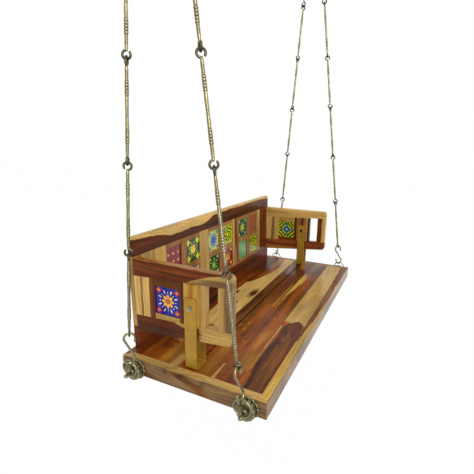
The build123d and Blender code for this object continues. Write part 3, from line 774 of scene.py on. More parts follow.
def paint_material(colours):
    """Gilt paint on flat steel: brushed on, cloudy, with a slightly pitted skin."""
    material, tree, shader, place = metal("strap_paint", 0.35)
    cloud = noise(tree, place, 26.0, detail=5.0, roughness=0.6)
    brushed = noise(tree, stretched(tree, place, (420.0, 420.0, 9.0)), detail=3.0)
    pits = noise(tree, place, 900.0, detail=2.0)
    shade = cloud.rise(0.25, 0.75, 0.80, 1.16) * brushed.spread(0.2, 0.8, 0.90, 1.10)
    feed(tree, shader.inputs["Base Color"], dimmed(tree, colours.gilt[:], shade))
    feed(tree, shader.inputs["Roughness"], brushed * 0.18 + 0.36)
    relief(tree, shader, brushed * 0.5 + pits * 0.5, 0.00010)
    return material


def zinc_material(colours):
    """Zinc-plated steel with dull blotches, and with painted shade darkening the right arm's bolt."""
    material, tree, shader, place = metal("bolt_steel", 1.0)
    blotch = noise(tree, place, 300.0, detail=3.0)
    x, _, _ = axes(tree, place)
    # dull blotches, and painted shade: the bolt on the right arm, where X is above 0, is darkened to a tenth
    blotches_and_painted_shade = blotch.rise(0.2, 0.8, 0.70, 1.10) * x.rise(-0.01, 0.01, 1.0, 0.10)
    feed(tree, shader.inputs["Base Color"], dimmed(tree, colours.zinc[:], blotches_and_painted_shade))
    feed(tree, shader.inputs["Roughness"], blotch * 0.2 + 0.22)
    relief(tree, shader, blotch, 0.00008)
    return material


# ---- Surfaces, each (points, faces, worn), with worn at each point ----


def grid_faces(rows, columns, closed):
    """Quads between neighbouring rows of a grid whose columns wrap round, and whose rows do too if closed."""
    row = np.arange(rows if closed else rows - 1)[:, None] * columns
    column = np.arange(columns)[None, :]
    after = (row + columns) % (rows * columns)
    beside = (column + 1) % columns
    corners = (row + column, row + beside, after + beside, after + column)
    return np.stack(np.broadcast_arrays(*corners), -1).reshape(-1, 4).tolist()


def swept(path, normal, radius, sides=20, closed=False, worn=1.0):
    """A round wire along a flat path: at each point, a circle spanned by the path's normal in its plane
    and the plane's own normal, with the ends closed by a fan about a middle point."""
    radius = np.broadcast_to(np.asarray(radius, float), len(path))
    worn = np.broadcast_to(np.asarray(worn, float), len(path))
    tangent = np.roll(path, -1, 0) - np.roll(path, 1, 0) if closed else np.gradient(path, axis=0)
    tangent /= np.linalg.norm(tangent, axis=1)[:, None]
    inward = np.cross(normal, tangent)
    turn = np.linspace(0, 2 * math.pi, sides, endpoint=False)
    circle = np.cos(turn)[None, :, None] * inward[:, None] + np.sin(turn)[None, :, None] * np.array(normal)
    points = (path[:, None] + radius[:, None, None] * circle).reshape(-1, 3)
    faces = grid_faces(len(path), sides, closed)
    wear = np.repeat(worn, sides)
    if not closed:
        middle, last = len(points), len(points) - sides
        points = np.concatenate([points, path[:1], path[-1:]])
        wear = np.concatenate([wear, worn[:1], worn[-1:]])
        faces += [[middle, (i + 1) % sides, i] for i in range(sides)]
        faces += [[middle + 1, last + i, last + (i + 1) % sides] for i in range(sides)]
    return points, faces, wear


def rounded_wire(path, normal, radius, sides=20, worn=1.0):
    """A wire along a flat path whose two ends are rounded off: the radius falls as a quarter circle over the
    last half radius. The wear is a number, or an array spaced evenly over the points."""
    steps = np.linspace(0, math.pi / 2, 5)[1:]
    soft = radius * 0.5
    ends = []
    for end, before in ((path[0], path[1]), (path[-1], path[-2])):
        ahead = (end - before) / np.linalg.norm(end - before)
        ends.append(end - ahead * soft + ahead * soft * np.sin(steps)[:, None])
    whole = np.concatenate([ends[0][::-1], path[1:-1], ends[1]])
    thick = radius - soft + soft * np.cos(steps)
    radii = np.concatenate([thick[::-1], np.full(len(path) - 2, radius), thick])
    worn = np.atleast_1d(worn)
    worn = np.interp(np.linspace(0, 1, len(whole)), np.linspace(0, 1, len(worn)), worn)
    return swept(whole, normal, radii, sides, worn=worn)


def turned(heights, radii, sides=20, worn=1.0):
    """A turned shape on the Z axis: circles of the given radii at the given heights, closed at both ends."""
    path = np.stack([np.zeros_like(heights), np.zeros_like(heights), heights], -1)
    return swept(path, X_AXIS, radii, sides, worn=worn)


def placed(surface, matrix):
    """A surface moved by a 4 by 4 matrix."""
    points, faces, worn = surface
    return points @ matrix[:3, :3].T + matrix[:3, 3], faces, worn


def merged(surfaces):
    """Several surfaces as one, in one mesh's numbering."""
    points, faces, worn, start = [], [], [], 0
    for surface_points, surface_faces, surface_worn in surfaces:
        points.append(surface_points)
        worn.append(surface_worn)
        faces += [[start + corner for corner in face] for face in surface_faces]
        start += len(surface_points)
    return np.concatenate(points), faces, np.concatenate(worn)


def outward(surface):
    """The same surface with its faces turned outwards, which is where the volume under them is positive."""
    points, faces, worn = surface
    triangles = [face[:3] for face in faces] + [[face[0], *face[2:]] for face in faces if len(face) == 4]
    first, second, third = points[np.array(triangles)].swapaxes(0, 1)
    volume = (first * np.cross(second, third)).sum()
    return (points, [face[::-1] for face in faces], worn) if volume < 0 else surface


def make_piece(name, surfaces, material, body, node, sharp=50.0):
    """Makes a mesh of the surfaces, in place, riding on a body, and standing for a CAD node."""
    points, faces, worn = merged([outward(surface) for surface in surfaces])
    mesh = bpy.data.meshes.new(name)
    mesh.from_pydata(points.tolist(), [], faces)
    mesh.polygons.foreach_set("use_smooth", np.ones(len(mesh.polygons), bool))
    mesh.set_sharp_from_angle(angle=math.radians(sharp))
    mesh.attributes.new("worn", "FLOAT", "POINT").data.foreach_set("value", worn.astype(np.float32))
    mesh.materials.append(material)
    mesh.update()
    piece = bpy.data.objects.new(name, mesh)
    bpy.context.scene.collection.objects.link(piece)
    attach(piece, body)
    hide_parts(node)


def moved(x=0.0, y=0.0, z=0.0):
    """A 4 by 4 matrix that moves."""
    matrix = np.eye(4)
    matrix[:3, 3] = (x, y, z)
    return matrix


def turned_about_z(angle):
    """A 4 by 4 matrix that turns about Z."""
    matrix = np.eye(4)
    matrix[:2, :2] = [[math.cos(angle), -math.sin(angle)], [math.sin(angle), math.cos(angle)]]
    return matrix


# ---- Brass work ----


class Hanging:
    """Where each chain hangs, worked out from the sizes as the solids are."""

    def __init__(self, s):
        self.x = s.seat_length / 2 + s.ring_standoff
        self.top_ring_z = -s.hook_drop + (s.hook_wire + s.top_ring_wire) / 2 + PLAY - s.top_ring_radius
        pivot_y = s.top_ring_radius * math.sin(TOP_EYE_ANGLE)
        self.pivot_z = self.top_ring_z - s.top_ring_radius * math.cos(TOP_EYE_ANGLE)
        self.eye_drop = s.eye_radius - (s.top_ring_wire + s.eye_wire) / 2 - PLAY
        self.eye_step = 2 * s.eye_radius - s.eye_wire - EYE_PLAY
        self.s_below_eye = s.eye_radius - (s.eye_wire + s.s_wire) / 2 - EYE_PLAY
        self.ring_above_stud = 2 * s.ring_radius - (s.ring_wire + s.stud_diameter) / 2 - RING_PLAY
        stud_below_s = self.ring_above_stud - (s.s_wire + s.ring_wire) / 2 - PLAY
        fittings = self.eye_drop - self.eye_step + self.s_below_eye + s.s_height + stud_below_s
        to_stud = s.stud_spacing / 2
        self.stud_y = {"front": -s.seat_forward - to_stud, "rear": -s.seat_forward + to_stud}
        rear = s.links * s.link_pitch + fittings
        hang = math.sqrt(rear**2 - (self.stud_y["rear"] - pivot_y) ** 2)
        front = math.hypot(self.stud_y["front"] + pivot_y, hang)
        self.stud_z = self.pivot_z - hang
        self.length = {"rear": rear, "front": front}
        self.pitch = {"rear": s.link_pitch, "front": (front - fittings) / s.links}
        self.frames = {}
        for side_name, side in (("left", -1), ("right", 1)):
            for end_name, end in (("front", -1), ("rear", 1)):
                pivot = np.array([side * self.x, end * pivot_y, self.pivot_z])
                stud = np.array([side * self.x, self.stud_y[end_name], self.stud_z])
                up = (pivot - stud) / np.linalg.norm(pivot - stud)
                matrix = moved(*pivot)
                matrix[:3, :3] = np.stack([X_AXIS, np.cross(up, X_AXIS), up], -1)
                self.frames[f"{end_name}_{side_name}"] = (end_name, matrix)

    def down(self, corner, depth, angle=0.0):
        """The place that far down a chain, turned by an angle about the chain."""
        return self.frames[corner][1] @ moved(z=-depth) @ turned_about_z(angle)


def link_surfaces(s, eye_distance):
    """A turned link that stands on Z: a rod whose radius is the sum of its barrels, rows of beads and fine
    reeds, and at either end an eye, which is a circle's arc that starts on the rod's axis.

    Each half of the rod goes outwards from reeds through a barrel, beads and more reeds to a neck.
    """
    reeds_end, barrel_end, beads_end, neck_start = 0.0105, 0.0405, 0.0757, 0.0986
    reed_pitch, reed_depth, bead_pitch, barrel_swell, neck_flare = 0.0025, 0.00016, 0.007, 0.0004, 0.0004
    half = eye_distance / 2
    eye_end = half - s.eye_radius
    rod = s.rod_diameter / 2
    reed_step, bead_step, neck_gap = 0.0005, 0.0006, 0.0002  # between sections of the rod
    fine = np.concatenate([
        np.arange(0, reeds_end, reed_step), np.linspace(reeds_end, barrel_end - reed_step, 12),
        np.arange(barrel_end, beads_end, bead_step), np.arange(beads_end, neck_start, reed_step),
        np.linspace(neck_start + neck_gap, eye_end, 8),
    ])
    radius = np.full_like(fine, rod)
    worn = np.full_like(fine, 0.95)
    neck = fine > neck_start
    reeds = (fine < reeds_end) | ((fine > beads_end) & ~neck)
    wave = np.cos(2 * math.pi * fine[reeds] / reed_pitch)
    radius[reeds] = rod - 0.00012 + reed_depth * wave
    worn[reeds] = 0.80 + 0.15 * wave
    barrel = (fine >= reeds_end) & (fine < barrel_end)
    radius[barrel] += barrel_swell * np.sin(math.pi * (fine[barrel] - reeds_end) / (barrel_end - reeds_end))
    beads = (fine >= barrel_end) & (fine <= beads_end)
    lobe = np.abs(np.sin(math.pi * (fine[beads] - barrel_end) / bead_pitch))
    radius[beads] = rod - 0.0002 + (s.bead_rise + 0.0002) * lobe**0.6
    worn[beads] = 0.30 + 0.70 * lobe**0.5
    end = s.eye_wire / 2 + neck_flare
    radius[neck] = np.interp(fine[neck], [neck_start, eye_end], [rod, end])
    cap = np.linspace(0, math.pi / 2, 5)[1:-1]
    heights = np.concatenate([fine, eye_end + end * np.sin(cap)])
    radii = np.concatenate([radius, end * np.cos(cap)])
    wear = np.concatenate([worn, np.full(len(cap), 0.7)])
    heights = np.concatenate([-heights[:0:-1], heights])
    radii, wear = (np.concatenate([values[:0:-1], values]) for values in (radii, wear))
    surfaces = [turned(heights, radii, 18, wear)]
    angle = np.linspace(0, EYE_ARC, 44)
    for up in (-1, 1):
        path = np.stack([
            -s.eye_radius * np.sin(angle), np.zeros_like(angle), up * (half - s.eye_radius * np.cos(angle)),
        ], -1)
        eye_wear = 0.10 + 0.35 * np.cos(angle / 2) ** 2
        surfaces.append(rounded_wire(path, Y_AXIS, s.eye_wire / 2, 16, eye_wear))
    return surfaces


def s_hook_surface(s):
    """An S of round wire: two half circles and a little more, a slanting straight, and straight tips."""
    bend = (s.s_width - s.s_wire) / 2
    middle = s.s_height / 2 - bend
    slant = math.asin(bend / middle)
    upper = np.linspace(math.pi, -slant, 34)
    lower = np.linspace(math.pi - slant, 2 * math.pi, 34)
    tip = np.linspace(0, s.s_tip, 5)
    straight = np.linspace(0, 1, 9)[1:-1, None]
    top = np.stack([bend * np.cos(upper), middle + bend * np.sin(upper)], -1)
    bottom = np.stack([bend * np.cos(lower), -middle + bend * np.sin(lower)], -1)
    first_tip = np.stack([np.full(4, -bend), middle - tip[:0:-1]], -1)
    last_tip = np.stack([np.full(4, bend), -middle + tip[1:]], -1)
    flat = np.concatenate([first_tip, top, top[-1] + (bottom[0] - top[-1]) * straight, bottom, last_tip])
    path = np.stack([flat[:, 0], np.zeros(len(flat)), flat[:, 1]], -1)
    return rounded_wire(path, Y_AXIS, s.s_wire / 2)


def arc_across_x(radius, angle, x, y, z):
    """Points on a circle that stands across X, at angles from the top."""
    return np.stack([np.full_like(angle, x), y + radius * np.sin(angle), z + radius * np.cos(angle)], -1)


def ring_surface(radius, wire, x, y, z):
    """A round ring of round wire that stands across X."""
    angle = np.linspace(0, 2 * math.pi, 72, endpoint=False)
    return swept(arc_across_x(radius, angle, x, y, z), X_AXIS, wire / 2, closed=True)


def hexagon_nut(width, low, high, hole):
    """A hexagonal nut about Z, with its corners turned down at both faces: rings of six-sided sections whose
    reach is half the width over the cosine of the angle from the nearest flat."""
    turn = np.linspace(0, 2 * math.pi, 48, endpoint=False)
    reach = width / 2 / np.cos((turn + math.pi / 6) % (math.pi / 3) - math.pi / 6)
    turned_down = np.minimum(reach, width / 2 * 1.03)
    drop = (high - low) * 0.12
    rows = [
        (hole, low), (turned_down, low), (reach, low + drop),
        (reach, high - drop), (turned_down, high), (hole, high),
    ]
    points = [np.stack([r * np.cos(turn), r * np.sin(turn), np.full_like(turn, z)], -1) for r, z in rows]
    return np.concatenate(points), grid_faces(len(rows), len(turn), True), np.full(len(rows) * len(turn), 0.5)


def rosette_surface(s):
    """A cast rosette about Z: a turned section whose radius swells and shrinks round the axis as the size
    of the cosine of half the petals times the angle. The foot's petals stand between the ribs of the cup,
    so the ribs follow the sine, and neither shows in the boss. Spokes in the dish rise and fall as the
    ribs do."""
    foot = s.rosette_radius + s.rosette_petal
    cup = s.rosette_cup + s.rosette_petal
    base = s.rosette_base
    lip = base + 0.019
    boss = 0.009
    hole = s.stud_diameter / 2 + 0.0001
    section = [
        # radius, height, wear (1.0 on the dish's slopes, which is painted light), depth of the petals, depth
        # of the ribs, height of the spokes
        (hole, 0.0, 0.2), (foot - 0.001, 0.0, 0.2, 0.11), (foot, 0.0012, 0.5, 0.11),
        (foot, base - 0.0020, 0.8, 0.11), (foot - 0.0010, base - 0.0006, 0.9, 0.11),
        (foot - 0.0024, base, 0.5, 0.09),
        (cup, base, 0.2, 0.0, 0.10), (cup, base + 0.0012, 0.4, 0.0, 0.11),
        (cup - 0.0002, base + 0.0050, 0.7, 0.0, 0.11), (cup - 0.0006, base + 0.0105, 0.8, 0.0, 0.10),
        (cup - 0.0012, lip - 0.0030, 0.9, 0.0, 0.09),
        (cup - 0.0022, lip - 0.0008, 1.0, 0.0, 0.07), (cup - 0.0040, lip, 1.0, 0.0, 0.04),
        # the dish's spoked slopes, at 1.0, are painted light: full wear that brightens the dish where its own
        # shade falls
        (cup - 0.0062, lip - 0.0004, 0.8, 0.0, 0.02), (cup - 0.0078, lip - 0.0018, 1.0, 0.0, 0.0, 0.0006),
        (0.0205, lip - 0.0046, 1.0, 0.0, 0.0, 0.0016), (0.0170, lip - 0.0076, 1.0, 0.0, 0.0, 0.0020),
        (0.0138, lip - 0.0100, 1.0, 0.0, 0.0, 0.0014), (boss + 0.0012, lip - 0.0112, 0.3),
        (boss, lip - 0.0106, 0.5), (boss - 0.0004, lip - 0.0040, 0.7), (boss, lip - 0.0030, 0.9),
        (boss, lip - 0.0010, 0.9),
        (boss - 0.0012, lip, 0.6), (boss - 0.0016, s.rosette_height - 0.0006, 0.9),
        (boss - 0.0026, s.rosette_height, 0.8), (hole, s.rosette_height, 0.3),
    ]
    section = np.array([row + (0.0,) * (6 - len(row)) for row in section])
    turn = np.linspace(0, 2 * math.pi, s.rosette_petals * 12, endpoint=False)
    petals = np.abs(np.cos(turn * s.rosette_petals / 2))[None, :] ** 0.7
    ribs = np.abs(np.sin(turn * s.rosette_petals / 2))[None, :] ** 0.7
    radius, height, worn, petal_depth, rib_depth, spoke = (column[:, None] for column in section.T)
    reach = radius * (1 - petal_depth * (1 - petals)) * (1 - rib_depth * (1 - ribs))
    height = height + spoke * ribs
    lobes = np.where(petal_depth > 0, petals, np.where((rib_depth > 0) | (spoke > 0), ribs, 1.0))
    worn = worn * (0.65 + 0.35 * lobes**0.6)
    points = np.stack([reach * np.cos(turn), reach * np.sin(turn), height], -1).reshape(-1, 3)
    return points, grid_faces(len(section), len(turn), True), worn.reshape(-1)


def stud_surface(s):
    """A stud about Z, through the end board below 0: a plain bar with a turned collar under a round knob."""
    reach = s.ring_standoff + s.stud_reach
    tail = -s.board_thickness - s.stud_tail
    rod = s.stud_diameter / 2
    knob = s.knob_diameter / 2
    bar = np.array([
        # height, radius, worn
        (tail, rod - 0.0006, 0.6), (tail + 0.0006, rod, 1.0), (reach - 0.0085, rod, 1.0),
        (reach - 0.0080, rod + 0.0009, 0.9), (reach - 0.0066, rod + 0.0009, 0.9), (reach - 0.0060, rod, 0.6),
    ])
    angle = np.linspace(-0.85, math.pi / 2 - 0.12, 11)
    ball = np.stack([reach + knob * np.sin(angle), knob * np.cos(angle), np.full_like(angle, 0.7)], -1)
    heights, radii, worn = np.concatenate([bar, ball]).T
    return turned(heights, radii, 24, worn)


# ---- Boards, with places in millimetres ----

SEAT_BOARDS = {
    "seat_plank_1": board(
        "flat", "sapwood",
        ("straw", 60, 330, -190, -160, 14),
        ("amber", -640, -165, -240, -130, 3),
        ("honey", -520, -330, -150, -136, 4),
        ("plum", -640, -140, [(-640, -226), (-250, -226), (-190, -221), (-160, -209), (-146, -194)],
         [(-640, -172), (-520, -158), (-417, -150), (-312, -156), (-215, -151), (-180, -163), (-146, -190)],
         1.6),
        ("umber", -640, -148,
         [(-640, -186), (-520, -172), (-417, -162), (-312, -167), (-215, -161), (-180, -172), (-150, -196)],
         [(-640, -177), (-520, -163), (-417, -155), (-312, -161), (-215, -155), (-180, -167), (-150, -192)],
         1.8),
        ("walnut", -640, -250, [(-640, -216), (-400, -214), (-300, -206), (-250, -196)],
         [(-640, -190), (-417, -174), (-312, -178), (-250, -184)], 5),
        ("sapwood", -385, -208, -147, -138, 1.5),
        ("russet", -150, 640, -232, [(-150, -224.6), (100, -223), (380, -219), (640, -212)], 1.0),
        rings=90, figure=0.5, bulges=[(-420, -188, 230, 30, 4.0), (300, -180, 260, 30, 3.0)],
    ),
    "seat_plank_2": board(
        "flat", "amber",
        ("russet", -640, -560, -150, -108, 10),
        ("honey", -530, -430, -140, -102, 9),
        ("honey", -420, -270, -124, -102, 9),
        ("russet", -420, 260, -90, -78, 8),
        ("walnut", -80, 300, -150, -124, 10),
        ("straw", -604, -520, -72, -60, 1.6),
        ("straw", -150, 400,
         [(-150, -60), (0, -64), (104, -71), (208, -81), (312, -89), (350, -85), (400, -60)], -50, 2.0),
        ("plum", 385, 640, -150, -50, 22),
        ("ash", 470, 640, -110, -70, 20),
        rings=110, figure=0.9,
        bulges=[(-250, -112, 90, 26, 6.0), (-470, -96, 150, 22, 6.0), (60, -104, 150, 22, 5.0),
                (-60, -80, 60, 16, 3.0)],
    ),
    "seat_plank_3": board(
        "flat", "walnut",
        ("amber", -640, -340, -70, 70, 10),
        ("honey", -600, -400, -44, -14, 8),
        ("amber", -300, -40, -60, -20, 12),
        ("honey", -304, -286, -36, -22, 4),
        ("honey", -276, -262, -8, 4, 4),
        ("honey", -250, -236, -30, -18, 4),
        ("honey", -225, -212, 2, 14, 4),
        ("umber", -200, 60, 30, 52, 9),
        ("honey", -60, 230, -58, -46, 6),
        ("russet", 40, 330, -30, 10, 14),
        ("plum", 300, 640, -64, 60, 26),
        ("ash", 360, 520, [(360, 10), (640, 52)], [(360, 30), (640, 70)], 8),
        ("honey", 470, 640, [(470, -40), (640, -6)], [(470, -16), (640, 34)], 8),
        rings=120, figure=1.1,
        bulges=[(-180, 10, 120, 30, 6.0), (90, -20, 150, 34, 6.0), (-420, 0, 130, 30, 5.0),
                (400, 10, 110, 30, 4.0)],
    ),
    "seat_plank_4": board(
        "flat", "blond",
        ("amber", -640, -455, 50, 176, 8),
        ("honey", -600, -470, 76, 130, 14),
        ("sapwood", -604, -530, 48, 84, 2),
        ("honey", -455, -400, 50, 176, 10),
        ("umber", 150, 345, [(150, 162), (200, 136), (260, 122), (345, 100)],
         [(150, 172), (200, 147), (260, 133), (345, 110)], 2),
        ("amber", 156, 640,
         [(156, 168), (200, 142), (260, 128), (350, 106), (430, 96), (520, 108), (640, 118)], 190, 2),
        ("russet", 200, 330, 150, 176, 8),
        ("plum", 330, 640, [(330, 130), (640, 124)], 190, 14),
        ("rose", 420, 640, 118, 150, 14),
        rings=80, figure=0.5, bulges=[(-560, 120, 90, 40, 4.0), (-200, 120, 220, 40, 2.5)],
        knots=[(2, 152, 44, 12), (-104, 106, 30, 9), (34, 78, 62, 22), (-328, 95, 24, 12),
               (178, 160, 30, 14)],
    ),
    "seat_plank_5": board(
        "flat", "russet",
        ("amber", -600, -440, 168, 200, 9),
        ("umber", -420, 60, 188, 232, 12),
        ("amber", 60, 360, 170, 196, 9),
        ("plum", 330, 640, 160, 232, 24),
        rings=130, figure=0.9, bulges=[(-300, 200, 160, 30, 5.0), (200, 196, 120, 26, 4.0)],
    ),
    "apron_front": board(
        "flat", "ash",
        ("straw", -640, 640, -249, -220, 0),
        ("walnut", -290, 640,
         [(-290, -230), (-190, -235), (-80, -242), (60, -245), (300, -247), (640, -249.5)], -220, 0.8),
        rings=70, figure=0.6,
    ),
    "apron_rear": board("rail", "walnut", ("honey", -300, 420, -40, -10, 14), rings=90),
    "apron_left": board(
        "arm_rail", "ash",
        ("walnut", -60, 70, [(-60, -58), (70, -10)], [(-60, -30), (70, 10)], 5),
        ("walnut", 120, 260, -60, [(120, -44), (260, -12)], 6),
        ("sapwood", -260, 260, -2.2, 4, 0),
        rings=80, figure=0.9, bulges=[(0, -30, 120, 30, 3.0)],
    ),
    "apron_right": board("arm_rail", "russet", ("rose", -260, 260, -2.2, 4, 0), rings=90),
    "seat_battens": board("across", "walnut", rings=80, gloss=0.3),
}

BACK_BOARDS = {
    "back_top_rail": board(
        "rail", "plum",
        ("umber", -600, -200, 318, 336, 8),
        ("umber", -150, 600, 320, 345, 12),
        ("blond", -640, 640,
         [(-573, 372), (-450, 362), (-406, 354), (-351, 346), (-237, 349), (-179, 346), (-98, 360),
          (-9, 371), (196, 371), (343, 372), (573, 362)], 400, 2.0),
        ("straw", -640, 640, 377.5, 400, 1.0),
        rings=110, figure=1.0, gloss=0.3,
    ),
    "back_bottom_rail": board(
        "rail", "russet",
        ("umber", -300, 420, 20, 60, 16),
        ("honey", -640, 640, 80.6, 90, 0.8),
        rings=110, gloss=0.5,
    ),
    "back_stile_left": board("upright", "sapwood", ("honey", 0, 400, -560, -535, 6), rings=80, figure=0.6),
    "back_stile_right": board("upright", "russet", gloss=0.3),
    "back_side_panels": board("upright", "sapwood", ("russet", 0, 400, 0, 700, 0), rings=90),
    "back_side_strips": board("upright", "straw", ("sapwood", 0, 400, 0, 700, 0), rings=80, figure=0.6),
    "back_posts": board(
        "upright", "sapwood",
        ("rose", 0, 400, 0, 200, 0),
        ("sapwood", 0, 400, 112, 128, 4),
        ("plum", 160, 330, 140, 154, 4),
        ("amber", 100, 240, 156, 170, 5),
        rings=80, figure=0.8,
    ),
    "back_slats": board("upright", "rose", ("russet", 0, 400, -280, -276, 1), rings=90, figure=0.7),
    "back_boards": board("rail", "walnut", ("honey", -640, 640, 120, 180, 18), rings=90, gloss=0.3),
}


def arm_board(lie, base, *patches, **settings):
    """A board of an arm, which are all sawn alike."""
    return board(lie, base, *patches, rings=95, figure=0.8, **settings)


CROSS_SLATS = ("arm_rail", 56.1, 147.9)  # over and under an arm's tiles, between the upright slats
ARM_BOARDS = {
    "left_arm_top_rail": arm_board(
        "arm_rail", "russet",
        ("walnut", 40, 230, 284, 296, 5),
        ("sapwood", -130, 70, 240, [(-125, 314), (-83, 309), (-40, 299), (10, 281), (50, 258)], 2.5),
        ("ash", -130, 0, 262, [(-125, 300), (-40, 290), (0, 276)], 8),
        ("honey", -200, 300, 313.4, 330, 0.8),
    ),
    "left_arm_bottom_rail": arm_board(
        "arm_rail", "russet",
        ("umber", 60, 260, 70, 110, 12),
        ("sapwood", 20, 74, [(20, 118), (74, 131)], 150, 1.6),
        ("sapwood", -130, -8, 60, 160, 3),
    ),
    "left_arm_front_stile": arm_board("arm_upright", "ash", ("sapwood", 90, 330, -94, -70, 4)),
    "left_arm_rear_panel": arm_board("arm_upright", "blond", ("honey", 100, 300, 196, 202, 1.5)),
    "left_arm_slats": arm_board(
        "arm_upright", "walnut",
        ("straw", 90, 330, 31.9, 42.1, 0),
        ("russet", 90, 330, 42.1, 50, 0.5),
        ("russet", 90, 330, 147.9, 156, 0.5),
        ("sapwood", 100, 330, -31.1, -11.9, 0),
        ("sapwood", 60, 149.5, 56.1, 147.9, 0),
        crosswise=CROSS_SLATS,
    ),
    "left_arm_post": arm_board("arm_upright", "straw", ("honey", 0, 320, 2, 16, 5)),
    "right_arm_top_rail": arm_board("arm_rail", "blond", ("straw", 100, 260, 286, 300, 6)),
    "right_arm_bottom_rail": arm_board(
        "arm_rail", "brick", ("honey", -130, 260, 60, [(-120, 108), (60, 96), (230, 90)], 2.5)
    ),
    "right_arm_front_stile": arm_board("arm_upright", "blond", ("walnut", 60, 330, -100, -76, 0.6)),
    "right_arm_rear_panel": arm_board(
        "arm_upright", "blond", ("ash", 100, 320, 176, 188, 5), ("umber", 100, 320, 189, 192, 1)
    ),
    "right_arm_slats": arm_board(
        "arm_upright", "straw",
        ("russet", 90, 330, 42.1, 56.1, 0),
        ("russet", 60, 149.5, 56.1, 147.9, 0),
        ("umber", 100, 330, -31.1, -20, 0),
        crosswise=CROSS_SLATS,
    ),
    "right_arm_post": arm_board("arm_upright", "rose", ("plum", 200, 320, 0, 14, 5)),
}

# ---- Operators ----


class JHOOLA_OT_seat(bpy.types.Operator):
    """Gives the seat's planks, aprons and battens their sheesham"""

    bl_idname = "jhoola.seat"
    bl_label = "Seat"

    def execute(self, context):
        dress_boards(SEAT_BOARDS, context.scene.jhoola_sizes.edge_wear)
        return {"FINISHED"}


class JHOOLA_OT_backrest(bpy.types.Operator):
    """Gives the backrest's rails, posts, slats and boards their sheesham"""

    bl_idname = "jhoola.backrest"
    bl_label = "Backrest"

    def execute(self, context):
        dress_boards(BACK_BOARDS, context.scene.jhoola_sizes.edge_wear)
        return {"FINISHED"}


class JHOOLA_OT_arms(bpy.types.Operator):
    """Gives the two arms' rails, stiles, panels, slats and posts their sheesham"""

    bl_idname = "jhoola.arms"
    bl_label = "Arms"

    def execute(self, context):
        dress_boards(ARM_BOARDS, context.scene.jhoola_sizes.edge_wear)
        return {"FINISHED"}


class JHOOLA_OT_tiles(bpy.types.Operator):
    """Paints and glazes the tiles"""

    bl_idname = "jhoola.tiles"
    bl_label = "Tiles"

    def execute(self, context):
        colours = context.scene.jhoola_colours
        paints = [
            posies("maroon", "rose", "lime", "leaf", 0.030),
            blossom("leaf", "lemon", 8, 0.020, "orange", "lime", "lime", corner_size=1.5),
            blossom("lime", "sky", 12, 0.034, "cobalt", "leaf", "sky", corner_size=1.3),
            scrollwork("lime", "leaf", "lemon"),
            blossom("leaf", "lime", 8, 0.018, "teal", "cream", "teal", rim="moss", corner_size=1.2),
            posies("brick", "rose", "maroon", "crimson", 0.026),
            blossom("cobalt", "orange", 8, 0.022, "maroon", "cream", "crimson", corner_size=1.3),
            blossom("maroon", "teal", 8, 0.026, "cream", "sky", "teal", corner_size=1.3),
            blossom("leaf", "moss", 6, 0.020, "lemon", "lime", "teal", rim="leaf", corner_size=1.2),
            blossom("maroon", "orange", 6, 0.016, "crimson", "lemon", "lemon", corner_size=0.9),
            mottle("moss", "jade"),
            scrollwork("lime", "leaf", "orange"),
        ]
        for number, paint in enumerate(paints, 1):
            node = f"back_tile_{number}"
            dress(node, glaze(colours, f"tile_{number}_glaze", node, 0, paint))
        for side, paint in (
            ("left", blossom("cobalt", "orange", 8, 0.0225, "maroon", "cream", "crimson", corner_size=1.15)),
            ("right", trellis("lime", "leaf", "sky", "sky")),
        ):
            node = f"{side}_arm_tiles"
            dress(node, glaze(colours, f"{side}_arm_glaze", node, 1, paint))
        return {"FINISHED"}


class JHOOLA_OT_straps(bpy.types.Operator):
    """Paints the arm straps and plates their bolts"""

    bl_idname = "jhoola.straps"
    bl_label = "Straps and Bolts"

    def execute(self, context):
        scene = context.scene
        gilt = paint_material(scene.jhoola_colours)
        for side in ("left", "right"):
            dress(f"{side}_arm_strap", gilt, scene.jhoola_sizes.strap_wear)
        dress("arm_bolts", zinc_material(scene.jhoola_colours))
        return {"FINISHED"}


class JHOOLA_OT_chains(bpy.types.Operator):
    """Makes the four chains of turned links, each link turned from the one above"""

    bl_idname = "jhoola.chains"
    bl_label = "Chains"

    def execute(self, context):
        sizes = context.scene.jhoola_sizes
        hanging = Hanging(sizes)
        brass = brass_material(context.scene.jhoola_colours, "chain_brass")
        for corner, (end_name, _) in hanging.frames.items():
            pitch = hanging.pitch[end_name]
            link = link_surfaces(sizes, pitch - hanging.eye_step)
            # nearly a quarter turn from link to link, so that the last one meets its S-hook square
            spare = (S_ANGLES[corner] - 90 * sizes.links + 90) % 180 - 90
            turn = 90 + spare / (sizes.links + 1)
            surfaces = []
            for number in range(sizes.links):
                depth = hanging.eye_drop + number * pitch + (pitch - hanging.eye_step) / 2
                place = hanging.down(corner, depth, math.radians(turn - 90 + number * turn))
                surfaces += [placed(surface, place) for surface in link]
            body = "left_chains" if corner.endswith("left") else "right_chains"
            make_piece(f"turned_chain_{corner}", surfaces, brass, body, f"chain_{corner}")
        return {"FINISHED"}


class JHOOLA_OT_s_hooks(bpy.types.Operator):
    """Bends the S-hooks between the chains and the seat's rings"""

    bl_idname = "jhoola.s_hooks"
    bl_label = "S-Hooks"

    def execute(self, context):
        sizes = context.scene.jhoola_sizes
        hanging = Hanging(sizes)
        brass = brass_material(context.scene.jhoola_colours, "s_hook_brass")
        hook = s_hook_surface(sizes)
        for side in ("left", "right"):
            surfaces = []
            for end in ("front", "rear"):
                corner = f"{end}_{side}"
                lowest = hanging.eye_drop + sizes.links * hanging.pitch[end] - hanging.eye_step
                depth = lowest + hanging.s_below_eye + sizes.s_height / 2
                surfaces.append(placed(hook, hanging.down(corner, depth, math.radians(S_ANGLES[corner]))))
            make_piece(f"bent_s_hooks_{side}", surfaces, brass, f"{side}_chains", f"s_hooks_{side}")
        return {"FINISHED"}


